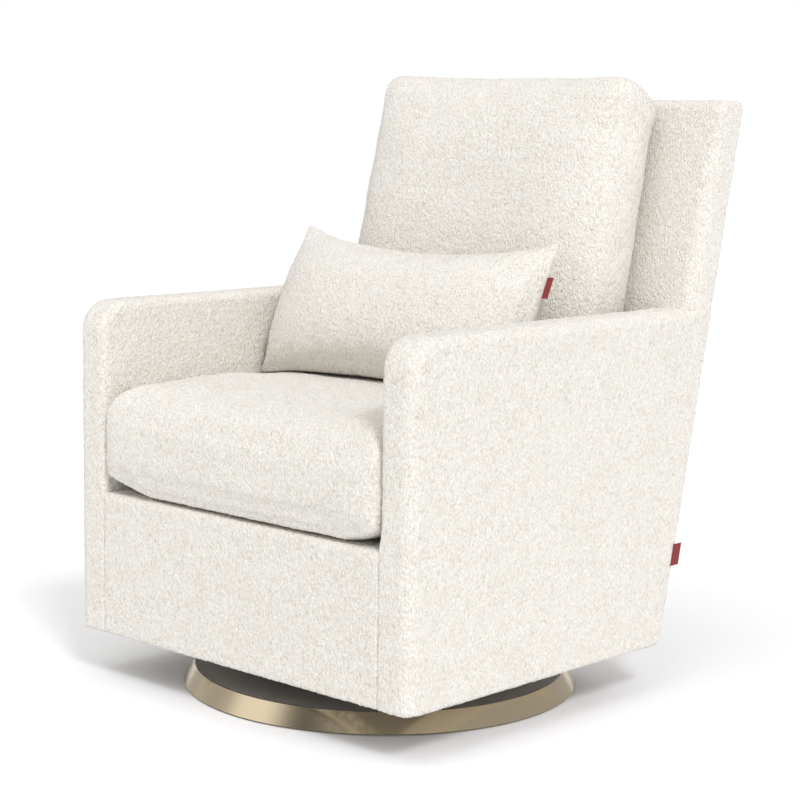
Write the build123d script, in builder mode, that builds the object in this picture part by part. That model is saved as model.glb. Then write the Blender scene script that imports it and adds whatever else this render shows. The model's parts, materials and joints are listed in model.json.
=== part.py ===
from build123d import *

import os
from math import cos, pi, radians, sin, sqrt, tan

# A swivel rocker: an upholstered armchair on a low round base. The body turns on
# a ball bearing and rocks on a cross shaft between four coil springs.
# Millimetres, +Z up. The origin is on the floor under the middle of the chair's
# bounding box, and the front of the chair faces -Y.

# ---- Driving dimensions ----------------------------------------------------

# The chair as a whole
overall_width = 750.0
bottom_depth = 602.0  # arm fronts to the foot of the raked rear face
body_bottom = 78.5  # floor to the underside of the upholstered body
back_top = 961.0  # floor to the top of the back frame
back_rake = 12.1  # degrees from upright
arm_top = 626.0
arm_thickness = 65.5
rail_top = 314.0  # top of the padded front rail and of the seat deck
axis_setback = 334.5  # arm fronts to the swivel axis

# Upholstery
arm_corner_radius = 58.0  # front top corner of the arm, seen from the side
arm_outer_radius = 26.0
arm_inner_radius = 14.0
front_top_radius = 10.0
rear_edge_radius = 6.0
back_edge_radius = 12.0
hem_radius = 5.0
back_slab = 58.0  # thickness of the upholstered back frame
padding = 14.0  # foam and fabric over the front rail and the frame ends
arm_frame_thickness = 28.0
cover_panel = 5.0  # thickness of the panel that closes the rear face
cover_panel_margin = 15.0  # its distance from the sides of the chair
front_lip = 48.0  # how far the padded rail reaches back over the front board
deck_thickness = 11.0
dust_cover_thickness = 3.0
dust_opening = (400.0, 320.0)  # cut-out that the mechanism stands in

# Cushions
seat_edge_height = 178.0
seat_crown = 6.0
seat_low_radius = 24.0
seat_high_radius = 45.0
seat_corner_radius = 24.0
seat_side_gap = 1.5
seat_rear_gap = 4.0
back_cushion_thickness = 140.0
back_cushion_crown = 20.0
back_cushion_top = 998.0
back_cushion_skew = 12.0  # how far its foot sits to the left of its head
back_cushion_top_gap = 39.5  # inner face of the arms to the side of the cushion
back_cushion_bottom_gap = 20.0
back_cushion_top_sag = 6.0
back_cushion_rear_radius = 60.0
back_cushion_front_radius = 40.0
back_cushion_corner_radius = 30.0
crown_reach = 170.0  # how far the crown of a cushion runs in from its edge
wadding = 12.0  # fibre wrap and fabric round the core of the seat and back cushions
pillow_wadding = 22.0
pillow_width = 561.0
pillow_height = 270.0
pillow_thickness = 150.0
pillow_lean = 24.7  # degrees from upright
pillow_top_sag = 30.0
pillow_bottom_sag = 27.0
pillow_side_shift = -17.0
pillow_back_gap = 96.8  # middle of the pillow to the crown of the back cushion
pillow_centre_height = 299.3  # seat deck to the middle of the pillow
pillow_ear_radius = 6.0
pillow_reach = 108.0  # how far the swell of the pillow runs in from its seam

# Timber
board = 22.0
slat_width = 60.0
slat_height = 86.5  # underside of the body to the underside of the slats
slat_reach = 105.0  # rock shaft to the middle of each slat
corner_block_leg = 55.0
corner_block_height = 60.0
cleat_height = 25.0
post_width = 60.0
back_board = 26.0
back_rail_width = 70.0
webbing_width = 50.0
webbing_thickness = 2.0

# Seat springs
wire = 3.8
sinuous_count = 5
sinuous_pitch = 30.0
sinuous_half_width = 14.0
sinuous_spacing = 102.0
clip_size = (22.0, 7.0)
clip_plate = 1.5

# Round base
ring_radius = 325.5
ring_top_radius = 307.5
ring_height = 29.5
ring_wall = 2.5
ring_flange = 28.0
ring_flange_thickness = 2.0
ring_lip = 20.0  # width of the inner shelf that the plate lies on
plate_recess = 2.0
plate_thickness = 4.0
cross_width = 40.0
cross_height = 18.0
cross_edge_radius = 2.0
glide_height = 3.0
glide_radius = 8.0
glide_setback = 18.5  # rim of the ring to the middle of each glide
glide_count = 6
screw_radius = 2.5
screw_head = (5.0, 3.0)

# Ball bearing and king bolt
ball_radius = 4.0
ball_count = 24
ball_track_radius = 85.0
race_thickness = 5.5
race_inner_radius = 62.0
race_outer_radius = 108.0
race_gap = 3.0
race_end_wall = 1.5  # steel left past the end of a blind bolt hole
cage_thickness = 2.0
cage_width = 14.0
king_bolt_radius = 8.0
king_head = (13.0, 5.0)
king_nut_height = 10.0
king_bolt_excess = 2.0  # thread that stands out of the nut
washer = (17.0, 2.5)

# Swivel plate and rock pivot
swivel_plate_size = (330.0, 240.0)
swivel_plate_thickness = 5.0
pivot_height = 118.0
shaft_radius = 8.0
bracket_inner_x = 118.0
bracket_thickness = 6.0
bracket_foot = 40.0
bracket_depth = 110.0
bracket_boss = 20.0
clip_ring = (12.0, 1.5)
clip_groove = 1.0
bush_radius = 11.0
bush_flange = (15.0, 2.5)
rocker_bracket_thickness = 5.0
rocker_bracket_foot = 30.0
rocker_plate_size = (380.0, 250.0)
rocker_plate_thickness = 5.0
plate_corner_radius = 18.0
bolt_radius = 4.0
bolt_head = (7.5, 5.0)
rocker_bolt_inset = 18.0  # ends of the rocker plate to the bolts through the slats
rock_forward = 7.0  # degrees
rock_backward = 9.0

# Rocking springs and stops
coil_radius = 24.0
coil_wire = 6.0
coil_turns = 6
coil_x = 75.0
coil_y = 88.0
cup_floor = 2.5
cup_wall = 2.0
cup_height = 8.0
cup_boss = 17.0
stop_x = 140.0
stop_y = 100.0
stop_post_radius = 8.0
stop_pad_radius = 10.0
stop_pad_height = 12.0
stop_pad_edge_radius = 2.0

# Sewn-in tabs and zip
tab_length = 35.0
tab_reach = 20.0
tab_thickness = 1.6
side_tab_height = 225.5
pillow_tab_reach = 11.0
pillow_tab_offset = 59.0
zip_length = 420.0
zip_width = 9.0
zip_thickness = 1.5

# Fits
clearance = 0.3  # between pieces that must not touch
running_fit = 0.05  # radial, between a shaft and its bore
ball_play = 0.1  # radial, between a ball and the cage

# ---- Sizes worked out from them ---------------------------------------------

rake = radians(back_rake)
overall_depth = bottom_depth + (back_top - body_bottom) * tan(rake)
front_y = -overall_depth / 2
axis_y = front_y + axis_setback
outer_x = overall_width / 2
inner_x = outer_x - arm_thickness
swivel_axis = Axis((0, axis_y, 0), (0, 0, 1))

ring_foot = glide_height
ring_top = ring_foot + ring_height
ring_lip_radius = ring_top_radius - ring_wall - ring_lip
plate_top = ring_top - plate_recess
plate_bottom = plate_top - plate_thickness
cross_bottom = plate_bottom - cross_height
lower_race_top = plate_top + race_thickness
upper_race_bottom = lower_race_top + race_gap
ball_z = (lower_race_top + upper_race_bottom) / 2
swivel_bottom = upper_race_bottom + race_thickness
swivel_top = swivel_bottom + swivel_plate_thickness
slat_bottom = body_bottom + slat_height
rocker_plate_bottom = slat_bottom - rocker_plate_thickness

frame_bottom = body_bottom + dust_cover_thickness
deck_bottom = rail_top - deck_thickness
frame_top = deck_bottom - wire - clearance
seat_bottom = rail_top + clearance
back_cushion_top_half = inner_x - back_cushion_top_gap
back_cushion_bottom_half = inner_x - back_cushion_bottom_gap
rocker_bolt_x = rocker_plate_size[0] / 2 - rocker_bolt_inset

os.makedirs("parts", exist_ok=True)


def save(piece, name):
    """Label a finished piece and write it to its own file."""
    piece.part.label = name
    export_step(piece.part, f"parts/{name}.step")


def rear_y(z, forward=0.0):
    """Y of the plane that lies `forward` in front of the raked rear face, at height z."""
    return front_y + bottom_depth + (z - body_bottom) * tan(rake) - forward / cos(rake)


def back_plane(forward):
    """Plane parallel to the rear face, X across, Y up the rake and Z forward."""
    origin = (0, rear_y(body_bottom, forward), body_bottom)
    return Plane(origin=origin, x_dir=(1, 0, 0), z_dir=(0, -cos(rake), sin(rake)))


def raked_slab(low_forward, high_forward, bottom, top):
    """Side outline of a slab between two planes parallel to the rear face."""
    with BuildLine() as outline:
        Polyline(
            (rear_y(bottom, low_forward), bottom),
            (rear_y(top, low_forward), top),
            (rear_y(top, high_forward), top),
            (rear_y(bottom, high_forward), bottom),
            close=True,
        )
    make_face(outline.line)


def at_axis(x, y, z=0.0):
    """A point given from the swivel axis."""
    return (x, axis_y + y, z)


def corners(x, y):
    """The four places at +-x, +-y from the swivel axis."""
    return [at_axis(i * x, j * y) for i in (-1, 1) for j in (-1, 1)]


def on_circle(radius, count, start=0.0):
    """Places spread evenly on a circle round the swivel axis."""
    turns = [start + 2 * pi * i / count for i in range(count)]
    return [at_axis(radius * cos(a), radius * sin(a)) for a in turns]


def disc(radius, bottom, height, places, mode=Mode.ADD):
    """Upright cylinders of one radius at each place."""
    with BuildSketch(Plane.XY.offset(bottom)) as section:
        with Locations(*[(p[0], p[1]) for p in places]):
            Circle(radius)
    extrude(section.sketch, amount=height, mode=mode)


def drill(radius, bottom, height, places):
    """Upright round holes at each place."""
    disc(radius, bottom, height, places, mode=Mode.SUBTRACT)


def box(x, y, z):
    """A box between two limits on each axis."""
    with BuildSketch(Plane.XY.offset(z[0])) as section:
        with Locations(((x[0] + x[1]) / 2, (y[0] + y[1]) / 2)):
            Rectangle(x[1] - x[0], y[1] - y[0])
    extrude(section.sketch, amount=z[1] - z[0])


def turned(points):
    """Revolve an outline of (radius, height) points round the swivel axis."""
    with BuildSketch(Plane.XZ.offset(-axis_y)) as section:
        with BuildLine():
            Polyline(*points, close=True)
        make_face()
    revolve(section.sketch, axis=swivel_axis)


# ---- Round base --------------------------------------------------------------


def ring_outside(z):
    """Outside radius of the tapered base ring at height z."""
    return ring_radius + (ring_top_radius - ring_radius) * (z - ring_foot) / ring_height


def ring_inside(z):
    return ring_outside(z) - ring_wall


flange_top = ring_foot + ring_flange_thickness
flange_radius = ring_radius - ring_flange
lip_bottom = plate_bottom - ring_flange_thickness
glide_places = on_circle(ring_radius - glide_setback, glide_count)
plate_screw_places = on_circle(
    (ring_lip_radius + ring_inside(plate_bottom)) / 2, glide_count, pi / glide_count
)
race_bolt_radius = (ball_track_radius + ball_radius + race_outer_radius) / 2
lower_bolt_places = on_circle(race_bolt_radius, 4, pi / 4)
upper_bolt_places = on_circle(race_bolt_radius, 4)

with BuildPart() as base_ring:
    turned(
        [
            (ring_radius, ring_foot),
            (ring_top_radius, ring_top),
            (ring_inside(ring_top), ring_top),
            (ring_inside(plate_bottom), plate_bottom),
            (ring_lip_radius, plate_bottom),
            (ring_lip_radius, lip_bottom),
            (ring_inside(lip_bottom), lip_bottom),
            (ring_inside(flange_top), flange_top),
            (flange_radius, flange_top),
            (flange_radius, ring_foot),
        ]
    )
    drill(screw_radius, lip_bottom, ring_flange_thickness, plate_screw_places)
    drill(screw_radius, ring_foot, ring_flange_thickness, glide_places)
save(base_ring, "base_ring")

with BuildPart() as base_plate:
    disc(ring_inside(plate_top) - clearance, plate_bottom, plate_thickness, [at_axis(0, 0)])
    drill(king_bolt_radius, plate_bottom, plate_thickness, [at_axis(0, 0)])
    drill(bolt_radius, plate_bottom, plate_thickness, lower_bolt_places)
    drill(screw_radius, plate_bottom, plate_thickness / 2, plate_screw_places)
save(base_plate, "base_plate")

with BuildPart() as plate_screws:
    head_radius, head_height = screw_head
    disc(head_radius, lip_bottom - head_height, head_height, plate_screw_places)
    shank = ring_flange_thickness + plate_thickness / 2
    disc(screw_radius, lip_bottom, shank, plate_screw_places)
save(plate_screws, "plate_screws")

cross_reach = sqrt(ring_lip_radius**2 - (cross_width / 2) ** 2) - clearance
with BuildPart() as base_cross:
    across = (-cross_width / 2, cross_width / 2)
    box((-cross_reach, cross_reach), [axis_y + a for a in across], (cross_bottom, plate_bottom))
    box(across, (axis_y - cross_reach, axis_y + cross_reach), (cross_bottom, plate_bottom))
    fillet(base_cross.edges().filter_by(Axis.Z), radius=cross_edge_radius)
    drill(king_bolt_radius, cross_bottom, cross_height, [at_axis(0, 0)])
save(base_cross, "base_cross")

with BuildPart() as floor_glides:
    disc(glide_radius, 0, glide_height, glide_places)
    disc(screw_radius, glide_height, ring_flange_thickness, glide_places)
save(floor_glides, "floor_glides")

# ---- Ball bearing --------------------------------------------------------------


def race(bottom, holes_from, bolt_places):
    """A bearing ring with its ball track and four blind bolt holes."""
    turned(
        [
            (race_inner_radius, bottom),
            (race_outer_radius, bottom),
            (race_outer_radius, bottom + race_thickness),
            (race_inner_radius, bottom + race_thickness),
        ]
    )
    drill(bolt_radius, holes_from, race_bolt_depth, bolt_places)
    with BuildSketch(Plane.XZ.offset(-axis_y)) as track:
        with Locations((ball_track_radius, ball_z)):
            Circle(ball_radius + clearance)
    revolve(track.sketch, axis=swivel_axis, mode=Mode.SUBTRACT)


race_bolt_depth = race_thickness - race_end_wall

with BuildPart() as lower_race:
    race(plate_top, plate_top, lower_bolt_places)
save(lower_race, "bearing_lower_race")

with BuildPart() as upper_race:
    race(upper_race_bottom, swivel_bottom - race_bolt_depth, upper_bolt_places)
save(upper_race, "bearing_upper_race")

ball_places = on_circle(ball_track_radius, ball_count)

with BuildPart() as bearing_balls:
    with Locations(*[(x, y, ball_z) for x, y, _ in ball_places]):
        Sphere(ball_radius)
save(bearing_balls, "bearing_balls")

with BuildPart() as ball_cage:
    turned(
        [
            (ball_track_radius - cage_width / 2, ball_z - cage_thickness / 2),
            (ball_track_radius + cage_width / 2, ball_z - cage_thickness / 2),
            (ball_track_radius + cage_width / 2, ball_z + cage_thickness / 2),
            (ball_track_radius - cage_width / 2, ball_z + cage_thickness / 2),
        ]
    )
    drill(ball_radius + ball_play, ball_z - cage_thickness / 2, cage_thickness, ball_places)
save(ball_cage, "ball_cage")


def bolts(places, head_bottom, shank_bottom, shank_top):
    """Round-headed bolts of one length; the head starts at head_bottom."""
    disc(bolt_head[0], head_bottom, bolt_head[1], places)
    disc(bolt_radius, shank_bottom, shank_top - shank_bottom, places)


lower_bolt_top = plate_top + race_bolt_depth
with BuildPart() as lower_race_bolts:
    bolts(lower_bolt_places, plate_bottom - bolt_head[1], plate_bottom, lower_bolt_top)
save(lower_race_bolts, "lower_race_bolts")

upper_bolt_bottom = swivel_bottom - race_bolt_depth
with BuildPart() as upper_race_bolts:
    bolts(upper_bolt_places, swivel_top, upper_bolt_bottom, swivel_top)
save(upper_race_bolts, "upper_race_bolts")

washer_bottom = swivel_top + clearance
nut_bottom = washer_bottom + washer[1]
bolt_end = nut_bottom + king_nut_height + king_bolt_excess

with BuildPart() as king_bolt:
    with BuildSketch(Plane.XY.offset(cross_bottom - king_head[1])):
        with Locations((0, axis_y)):
            RegularPolygon(king_head[0], 6)
    extrude(amount=king_head[1])
    disc(king_bolt_radius, cross_bottom, bolt_end - cross_bottom, [at_axis(0, 0)])
save(king_bolt, "king_bolt")

with BuildPart() as king_nut:
    disc(washer[0], washer_bottom, washer[1], [at_axis(0, 0)])
    with BuildSketch(Plane.XY.offset(nut_bottom)):
        with Locations((0, axis_y)):
            RegularPolygon(king_head[0], 6)
    extrude(amount=king_nut_height)
    drill(king_bolt_radius, washer_bottom, washer[1] + king_nut_height, [at_axis(0, 0)])
save(king_nut, "king_nut")

# ---- Swivel plate and rock pivot -----------------------------------------------

bracket_outer_x = bracket_inner_x + bracket_thickness
bracket_bolt_x = bracket_outer_x + bracket_foot / 2
bracket_bolt_y = bracket_depth / 2 - bracket_boss
bracket_bolt_places = corners(bracket_bolt_x, bracket_bolt_y)
stop_places = corners(stop_x, stop_y)

with BuildPart() as swivel_plate:
    with BuildSketch(Plane.XY.offset(swivel_bottom)):
        with Locations((0, axis_y)):
            RectangleRounded(*swivel_plate_size, plate_corner_radius)
    extrude(amount=swivel_plate_thickness)
    drill(king_bolt_radius + running_fit, swivel_bottom, swivel_plate_thickness, [at_axis(0, 0)])
    drill(bolt_radius, swivel_bottom, swivel_plate_thickness, upper_bolt_places)
    drill(bolt_radius, swivel_bottom, swivel_plate_thickness, bracket_bolt_places)
save(swivel_plate, "swivel_plate")


def bracket_cheek(x, thickness, foot_z, foot_depth, boss, bore):
    """An upright plate that narrows from its foot to a round boss at the shaft."""
    with BuildSketch(Plane.YZ.offset(x)) as cheek:
        with BuildLine():
            CenterArc((axis_y, pivot_height), boss, 0, 360)
            Line((axis_y - foot_depth / 2, foot_z), (axis_y + foot_depth / 2, foot_z))
        make_hull()
        with Locations((axis_y, pivot_height)):
            Circle(bore, mode=Mode.SUBTRACT)
    extrude(cheek.sketch, amount=thickness)


foot_y = (axis_y - bracket_depth / 2, axis_y + bracket_depth / 2)

with BuildPart() as pivot_bracket_right:
    bracket_cheek(
        bracket_inner_x, bracket_thickness, swivel_top, bracket_depth, bracket_boss, shaft_radius
    )
    foot_x = (bracket_outer_x, bracket_outer_x + bracket_foot)
    box(foot_x, foot_y, (swivel_top, swivel_top + bracket_thickness))
    right_bolts = [p for p in bracket_bolt_places if p[0] > 0]
    drill(bolt_radius, swivel_top, bracket_thickness, right_bolts)
save(pivot_bracket_right, "pivot_bracket_right")

with BuildPart() as pivot_bracket_left:
    mirror(pivot_bracket_right.part, about=Plane.YZ)
save(pivot_bracket_left, "pivot_bracket_left")

with BuildPart() as bracket_bolts:
    disc(bolt_head[0], swivel_top + bracket_thickness, bolt_head[1], bracket_bolt_places)
    disc(bolt_radius, swivel_bottom, swivel_plate_thickness + bracket_thickness, bracket_bolt_places)
    disc(bolt_head[0], swivel_bottom - bolt_head[1], bolt_head[1], bracket_bolt_places)
save(bracket_bolts, "bracket_bolts")

clip_x = bracket_outer_x + clearance
shaft_end = clip_x + clip_ring[1] + bush_flange[1]


def along_shaft(x, radius, length, mode=Mode.ADD):
    """A cylinder on the rock axis that starts at x and runs towards +X."""
    with BuildSketch(Plane.YZ.offset(x)) as section:
        with Locations((axis_y, pivot_height)):
            Circle(radius)
    extrude(section.sketch, amount=length, mode=mode)


with BuildPart() as rock_shaft:
    along_shaft(-shaft_end, shaft_radius, 2 * shaft_end)
    for groove_x in (clip_x, -clip_x - clip_ring[1]):
        with BuildSketch(Plane.YZ.offset(groove_x)):
            with Locations((axis_y, pivot_height)):
                Circle(shaft_radius)
                Circle(shaft_radius - clip_groove, mode=Mode.SUBTRACT)
        extrude(amount=clip_ring[1], mode=Mode.SUBTRACT)
    chamfer(rock_shaft.edges().group_by(Axis.X)[0], length=clip_groove)
    chamfer(rock_shaft.edges().group_by(Axis.X)[-1], length=clip_groove)
save(rock_shaft, "rock_shaft")

with BuildPart() as shaft_clips:
    for ring_x in (clip_x, -clip_x - clip_ring[1]):
        along_shaft(ring_x, clip_ring[0], clip_ring[1])
        along_shaft(ring_x, shaft_radius - clip_groove, clip_ring[1], Mode.SUBTRACT)
save(shaft_clips, "shaft_clips")

# ---- Rocker plate and its brackets ---------------------------------------------

rocker_bracket_x = bracket_inner_x - clearance - bush_flange[1] - rocker_bracket_thickness
rocker_bracket_depth = 2 * (coil_y - coil_radius - coil_wire) - plate_corner_radius
rocker_bolt_places = corners(rocker_bolt_x, slat_reach)
rocker_foot_top = rocker_plate_bottom
rocker_boss = bracket_boss

with BuildPart() as rocker_plate:
    with BuildSketch(Plane.XY.offset(rocker_plate_bottom)):
        with Locations((0, axis_y)):
            RectangleRounded(*rocker_plate_size, plate_corner_radius)
    extrude(amount=rocker_plate_thickness)
    drill(bolt_radius, rocker_plate_bottom, rocker_plate_thickness, rocker_bolt_places)
save(rocker_plate, "rocker_plate")

with BuildPart() as rocker_bracket_right:
    bracket_cheek(
        rocker_bracket_x,
        rocker_bracket_thickness,
        rocker_foot_top,
        rocker_bracket_depth,
        rocker_boss,
        bush_radius,
    )
    foot_depth = (axis_y - rocker_bracket_depth / 2, axis_y + rocker_bracket_depth / 2)
    foot_z = (rocker_foot_top - rocker_bracket_thickness, rocker_foot_top)
    box((rocker_bracket_x - rocker_bracket_foot, rocker_bracket_x), foot_depth, foot_z)
save(rocker_bracket_right, "rocker_bracket_right")

with BuildPart() as rocker_bracket_left:
    mirror(rocker_bracket_right.part, about=Plane.YZ)
save(rocker_bracket_left, "rocker_bracket_left")

with BuildPart() as pivot_bushes:
    along_shaft(rocker_bracket_x, bush_radius, rocker_bracket_thickness)
    along_shaft(rocker_bracket_x + rocker_bracket_thickness, bush_flange[0], bush_flange[1])
    bush_length = rocker_bracket_thickness + bush_flange[1]
    along_shaft(rocker_bracket_x, shaft_radius + running_fit, bush_length, Mode.SUBTRACT)
    mirror(about=Plane.YZ)
save(pivot_bushes, "pivot_bushes")

with BuildPart() as rocker_bolts:
    slat_top = slat_bottom + board
    disc(bolt_head[0], rocker_plate_bottom - bolt_head[1], bolt_head[1], rocker_bolt_places)
    disc(bolt_radius, rocker_plate_bottom, slat_top - rocker_plate_bottom, rocker_bolt_places)
    disc(bolt_head[0], slat_top, bolt_head[1], rocker_bolt_places)
save(rocker_bolts, "rocker_bolts")

# ---- Rocking springs, their cups and the stops -----------------------------------


def cup_outline(base, up):
    """Half section of a spring cup with a rim and a centre boss; up is 1 or -1."""
    wall_radius = coil_radius + coil_wire / 2 + cup_wall
    floor_z = base + up * cup_floor
    rim_z = base + up * (cup_floor + cup_height)
    return [
        (0, base),
        (wall_radius + cup_wall, base),
        (wall_radius + cup_wall, rim_z),
        (wall_radius, rim_z),
        (wall_radius, floor_z),
        (cup_boss, floor_z),
        (cup_boss, rim_z),
        (0, rim_z),
    ]


def spring_cups(base, up):
    """Four cups, one under or over each coil spring."""
    for x, y, _ in corners(coil_x, coil_y):
        with BuildSketch(Plane(origin=(x, y, 0), x_dir=(1, 0, 0), z_dir=(0, -1, 0))) as section:
            with BuildLine():
                Polyline(*cup_outline(base, up), close=True)
            make_face()
        revolve(section.sketch, axis=Axis((x, y, 0), (0, 0, 1)))


with BuildPart() as lower_spring_cups:
    spring_cups(swivel_top, 1)
save(lower_spring_cups, "lower_spring_cups")

with BuildPart() as upper_spring_cups:
    spring_cups(rocker_plate_bottom, -1)
save(upper_spring_cups, "upper_spring_cups")

coil_bottom = swivel_top + cup_floor + clearance + coil_wire / 2
coil_top = rocker_plate_bottom - cup_floor - clearance - coil_wire / 2
coil_pitch = (coil_top - coil_bottom) / coil_turns
steps_per_turn = 4


def helix_point(angle):
    """Point on the spring's centre line, from the foot of its own axis."""
    x = coil_radius * cos(angle)
    y = coil_radius * sin(angle)
    return Vector(x, y, coil_bottom + coil_pitch * angle / (2 * pi))


def helix_tangent(angle):
    x = -coil_radius * sin(angle)
    y = coil_radius * cos(angle)
    return Vector(x, y, coil_pitch / (2 * pi)).normalized()


def biarc(start, start_tangent, end, end_tangent):
    """Two arcs that leave start and reach end along the given tangents."""
    chord = end - start
    both = start_tangent + end_tangent
    spread = 2 * (1 - start_tangent.dot(end_tangent))
    along = chord.dot(both)
    reach = (sqrt(along**2 + spread * chord.dot(chord)) - along) / spread
    first_control = start + start_tangent * reach
    second_control = end - end_tangent * reach
    join = (first_control + second_control) * 0.5
    TangentArc(start, join, tangent=start_tangent)
    TangentArc(join, end, tangent=second_control - first_control)


def coil(place):
    """One unbroken coil of round wire, standing at the place."""
    foot = Vector(place[0], place[1], 0)
    with BuildLine() as centre_line:
        for step in range(coil_turns * steps_per_turn):
            low, high = (2 * pi * (step + k) / steps_per_turn for k in (0, 1))
            ends = [foot + helix_point(a) for a in (low, high)]
            biarc(ends[0], helix_tangent(low), ends[1], helix_tangent(high))
    start = Plane(origin=centre_line.line @ 0, z_dir=centre_line.line % 0)
    with BuildSketch(start) as section:
        Circle(coil_wire / 2)
    sweep(section.sketch, path=centre_line.line)


def least_coil_gap():
    """Smallest clear distance between neighbouring turns, measured on points."""
    points = [helix_point(2 * pi * i / 72) for i in range(72 * 3)]
    gaps = [
        (a - b).length
        for i, a in enumerate(points)
        for j, b in enumerate(points)
        if j - i > 36
    ]
    return min(gaps) - coil_wire


print(f"coil springs: least gap between turns {least_coil_gap():.2f} mm")

for depth, place_y in (("front", -coil_y), ("rear", coil_y)):
    with BuildPart() as coil_springs:
        for place_x in (-coil_x, coil_x):
            coil(at_axis(place_x, place_y))
    save(coil_springs, f"coil_springs_{depth}")


def stop_top(limit, y):
    """Height at which the rocker plate meets a stop when it has rocked to its limit."""
    lever = rocker_plate_bottom - pivot_height
    return pivot_height + lever * cos(radians(limit)) - y * sin(radians(limit)) - clearance


front_stops = [p for p in stop_places if p[1] < axis_y]
rear_stops = [p for p in stop_places if p[1] > axis_y]
front_stop_top = stop_top(rock_forward, stop_y + stop_pad_radius)
rear_stop_top = stop_top(rock_backward, stop_y + stop_pad_radius)

with BuildPart() as stop_posts:
    for tip, places in ((front_stop_top, front_stops), (rear_stop_top, rear_stops)):
        disc(stop_post_radius, swivel_top, tip - stop_pad_height - swivel_top, places)
save(stop_posts, "stop_posts")

with BuildPart() as stop_pads:
    for tip, places in ((front_stop_top, front_stops), (rear_stop_top, rear_stops)):
        disc(stop_pad_radius, tip - stop_pad_height, stop_pad_height, places)
    tips = stop_pads.edges().filter_by(GeomType.CIRCLE).group_by(Axis.Z)[-1]
    fillet(tips, radius=stop_pad_edge_radius)
save(stop_pads, "stop_pads")

# ---- Timber frame -----------------------------------------------------------------

front_board_y = (front_y + padding, front_y + padding + board)
rear_board_back = rear_y(frame_bottom, back_slab) - clearance
rear_board_y = (rear_board_back - board, rear_board_back)
side_board_x = (inner_x - board, inner_x)
rail_z = (frame_bottom, frame_top)

with BuildPart() as front_rail:
    box((-inner_x, inner_x), front_board_y, rail_z)
save(front_rail, "front_rail")

with BuildPart() as rear_rail:
    box((-inner_x, inner_x), rear_board_y, rail_z)
save(rear_rail, "rear_rail")

with BuildPart() as side_rails:
    box(side_board_x, (front_board_y[1], rear_board_y[0]), rail_z)
    mirror(about=Plane.YZ)
save(side_rails, "side_rails")


def slat_y(reach):
    """The two long edges of the slat that lies `reach` behind the rock shaft."""
    return (axis_y + reach - slat_width / 2, axis_y + reach + slat_width / 2)


with BuildPart() as mounting_slats:
    for reach in (-slat_reach, slat_reach):
        slat_x = (-side_board_x[0], side_board_x[0])
        box(slat_x, slat_y(reach), (slat_bottom, slat_bottom + board))
    drill(bolt_radius, slat_bottom, board, rocker_bolt_places)
save(mounting_slats, "mounting_slats")

with BuildPart() as slat_cleats:
    for reach in (-slat_reach, slat_reach):
        cleat_x = (side_board_x[0] - board, side_board_x[0])
        box(cleat_x, slat_y(reach), (slat_bottom - cleat_height, slat_bottom))
    mirror(about=Plane.YZ)
save(slat_cleats, "slat_cleats")

with BuildPart() as corner_blocks:
    with BuildSketch(Plane.XY.offset(slat_bottom + board)):
        for y, inward in ((front_board_y[1], 1), (rear_board_y[0], -1)):
            with BuildLine():
                Polyline(
                    (side_board_x[0], y),
                    (side_board_x[0] - corner_block_leg, y),
                    (side_board_x[0], y + inward * corner_block_leg),
                    close=True,
                )
            make_face()
        mirror(about=Plane.YZ)
    extrude(amount=corner_block_height)
save(corner_blocks, "corner_blocks")

arm_padding = (arm_thickness - arm_frame_thickness) / 2
arm_frame_x = inner_x + arm_padding
arm_frame_top = arm_top - padding
arm_frame_front = front_y + padding


def front_top_corner(outline):
    """The corner of a side outline that lies furthest forward and highest."""
    return outline.vertices().group_by(Axis.X)[0].sort_by(Axis.Y)[-1]


def arm_frame_prism(bottom, mode=Mode.ADD):
    """The arm's inner panel, inside the padding, from the height `bottom` up."""
    with BuildSketch(Plane.YZ.offset(arm_frame_x)) as outline:
        with BuildLine():
            Polyline(
                (arm_frame_front, bottom),
                (arm_frame_front, arm_frame_top),
                (rear_y(arm_frame_top, padding), arm_frame_top),
                (rear_y(bottom, padding), bottom),
                close=True,
            )
        make_face()
        fillet(front_top_corner(outline), radius=arm_corner_radius - padding)
    extrude(outline.sketch, amount=arm_frame_thickness, mode=mode)


with BuildPart() as arm_frame_right:
    arm_frame_prism(frame_bottom)
save(arm_frame_right, "arm_frame_right")

with BuildPart() as arm_frame_left:
    mirror(arm_frame_right.part, about=Plane.YZ)
save(arm_frame_left, "arm_frame_left")

# The back frame stands between the rear panel and the front padding of the slab.
back_board_forward = (back_slab - back_board) / 2
post_top = back_top - padding
post_bottom = arm_top + clearance
post_outer_x = outer_x - padding
lower_post_outer_x = inner_x - clearance


def back_member(x, bottom, top, mode=Mode.ADD):
    """A timber of the back frame, raked with it, between two heights."""
    with BuildSketch(Plane.YZ.offset(x[0])) as section:
        raked_slab(back_board_forward, back_board_forward + back_board, bottom, top)
    extrude(section.sketch, amount=x[1] - x[0], mode=mode)


def back_post(mode=Mode.ADD):
    """The right post: it steps outwards above the arm."""
    back_member((lower_post_outer_x - post_width, lower_post_outer_x), frame_bottom, post_bottom, mode)
    back_member((lower_post_outer_x - post_width, post_outer_x), post_bottom, post_top, mode)


back_rail_x = lower_post_outer_x - post_width
back_rail_levels = {
    "lower": (rail_top - back_rail_width, rail_top),
    "middle": (arm_top - back_rail_width / 2, arm_top + back_rail_width / 2),
    "top": (post_top - back_rail_width, post_top),
}

with BuildPart() as back_post_right:
    back_post()
save(back_post_right, "back_post_right")

with BuildPart() as back_post_left:
    mirror(back_post_right.part, about=Plane.YZ)
save(back_post_left, "back_post_left")

with BuildPart() as back_rails:
    for bottom, top in back_rail_levels.values():
        back_member((-back_rail_x, back_rail_x), bottom, top)
save(back_rails, "back_rails")


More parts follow.
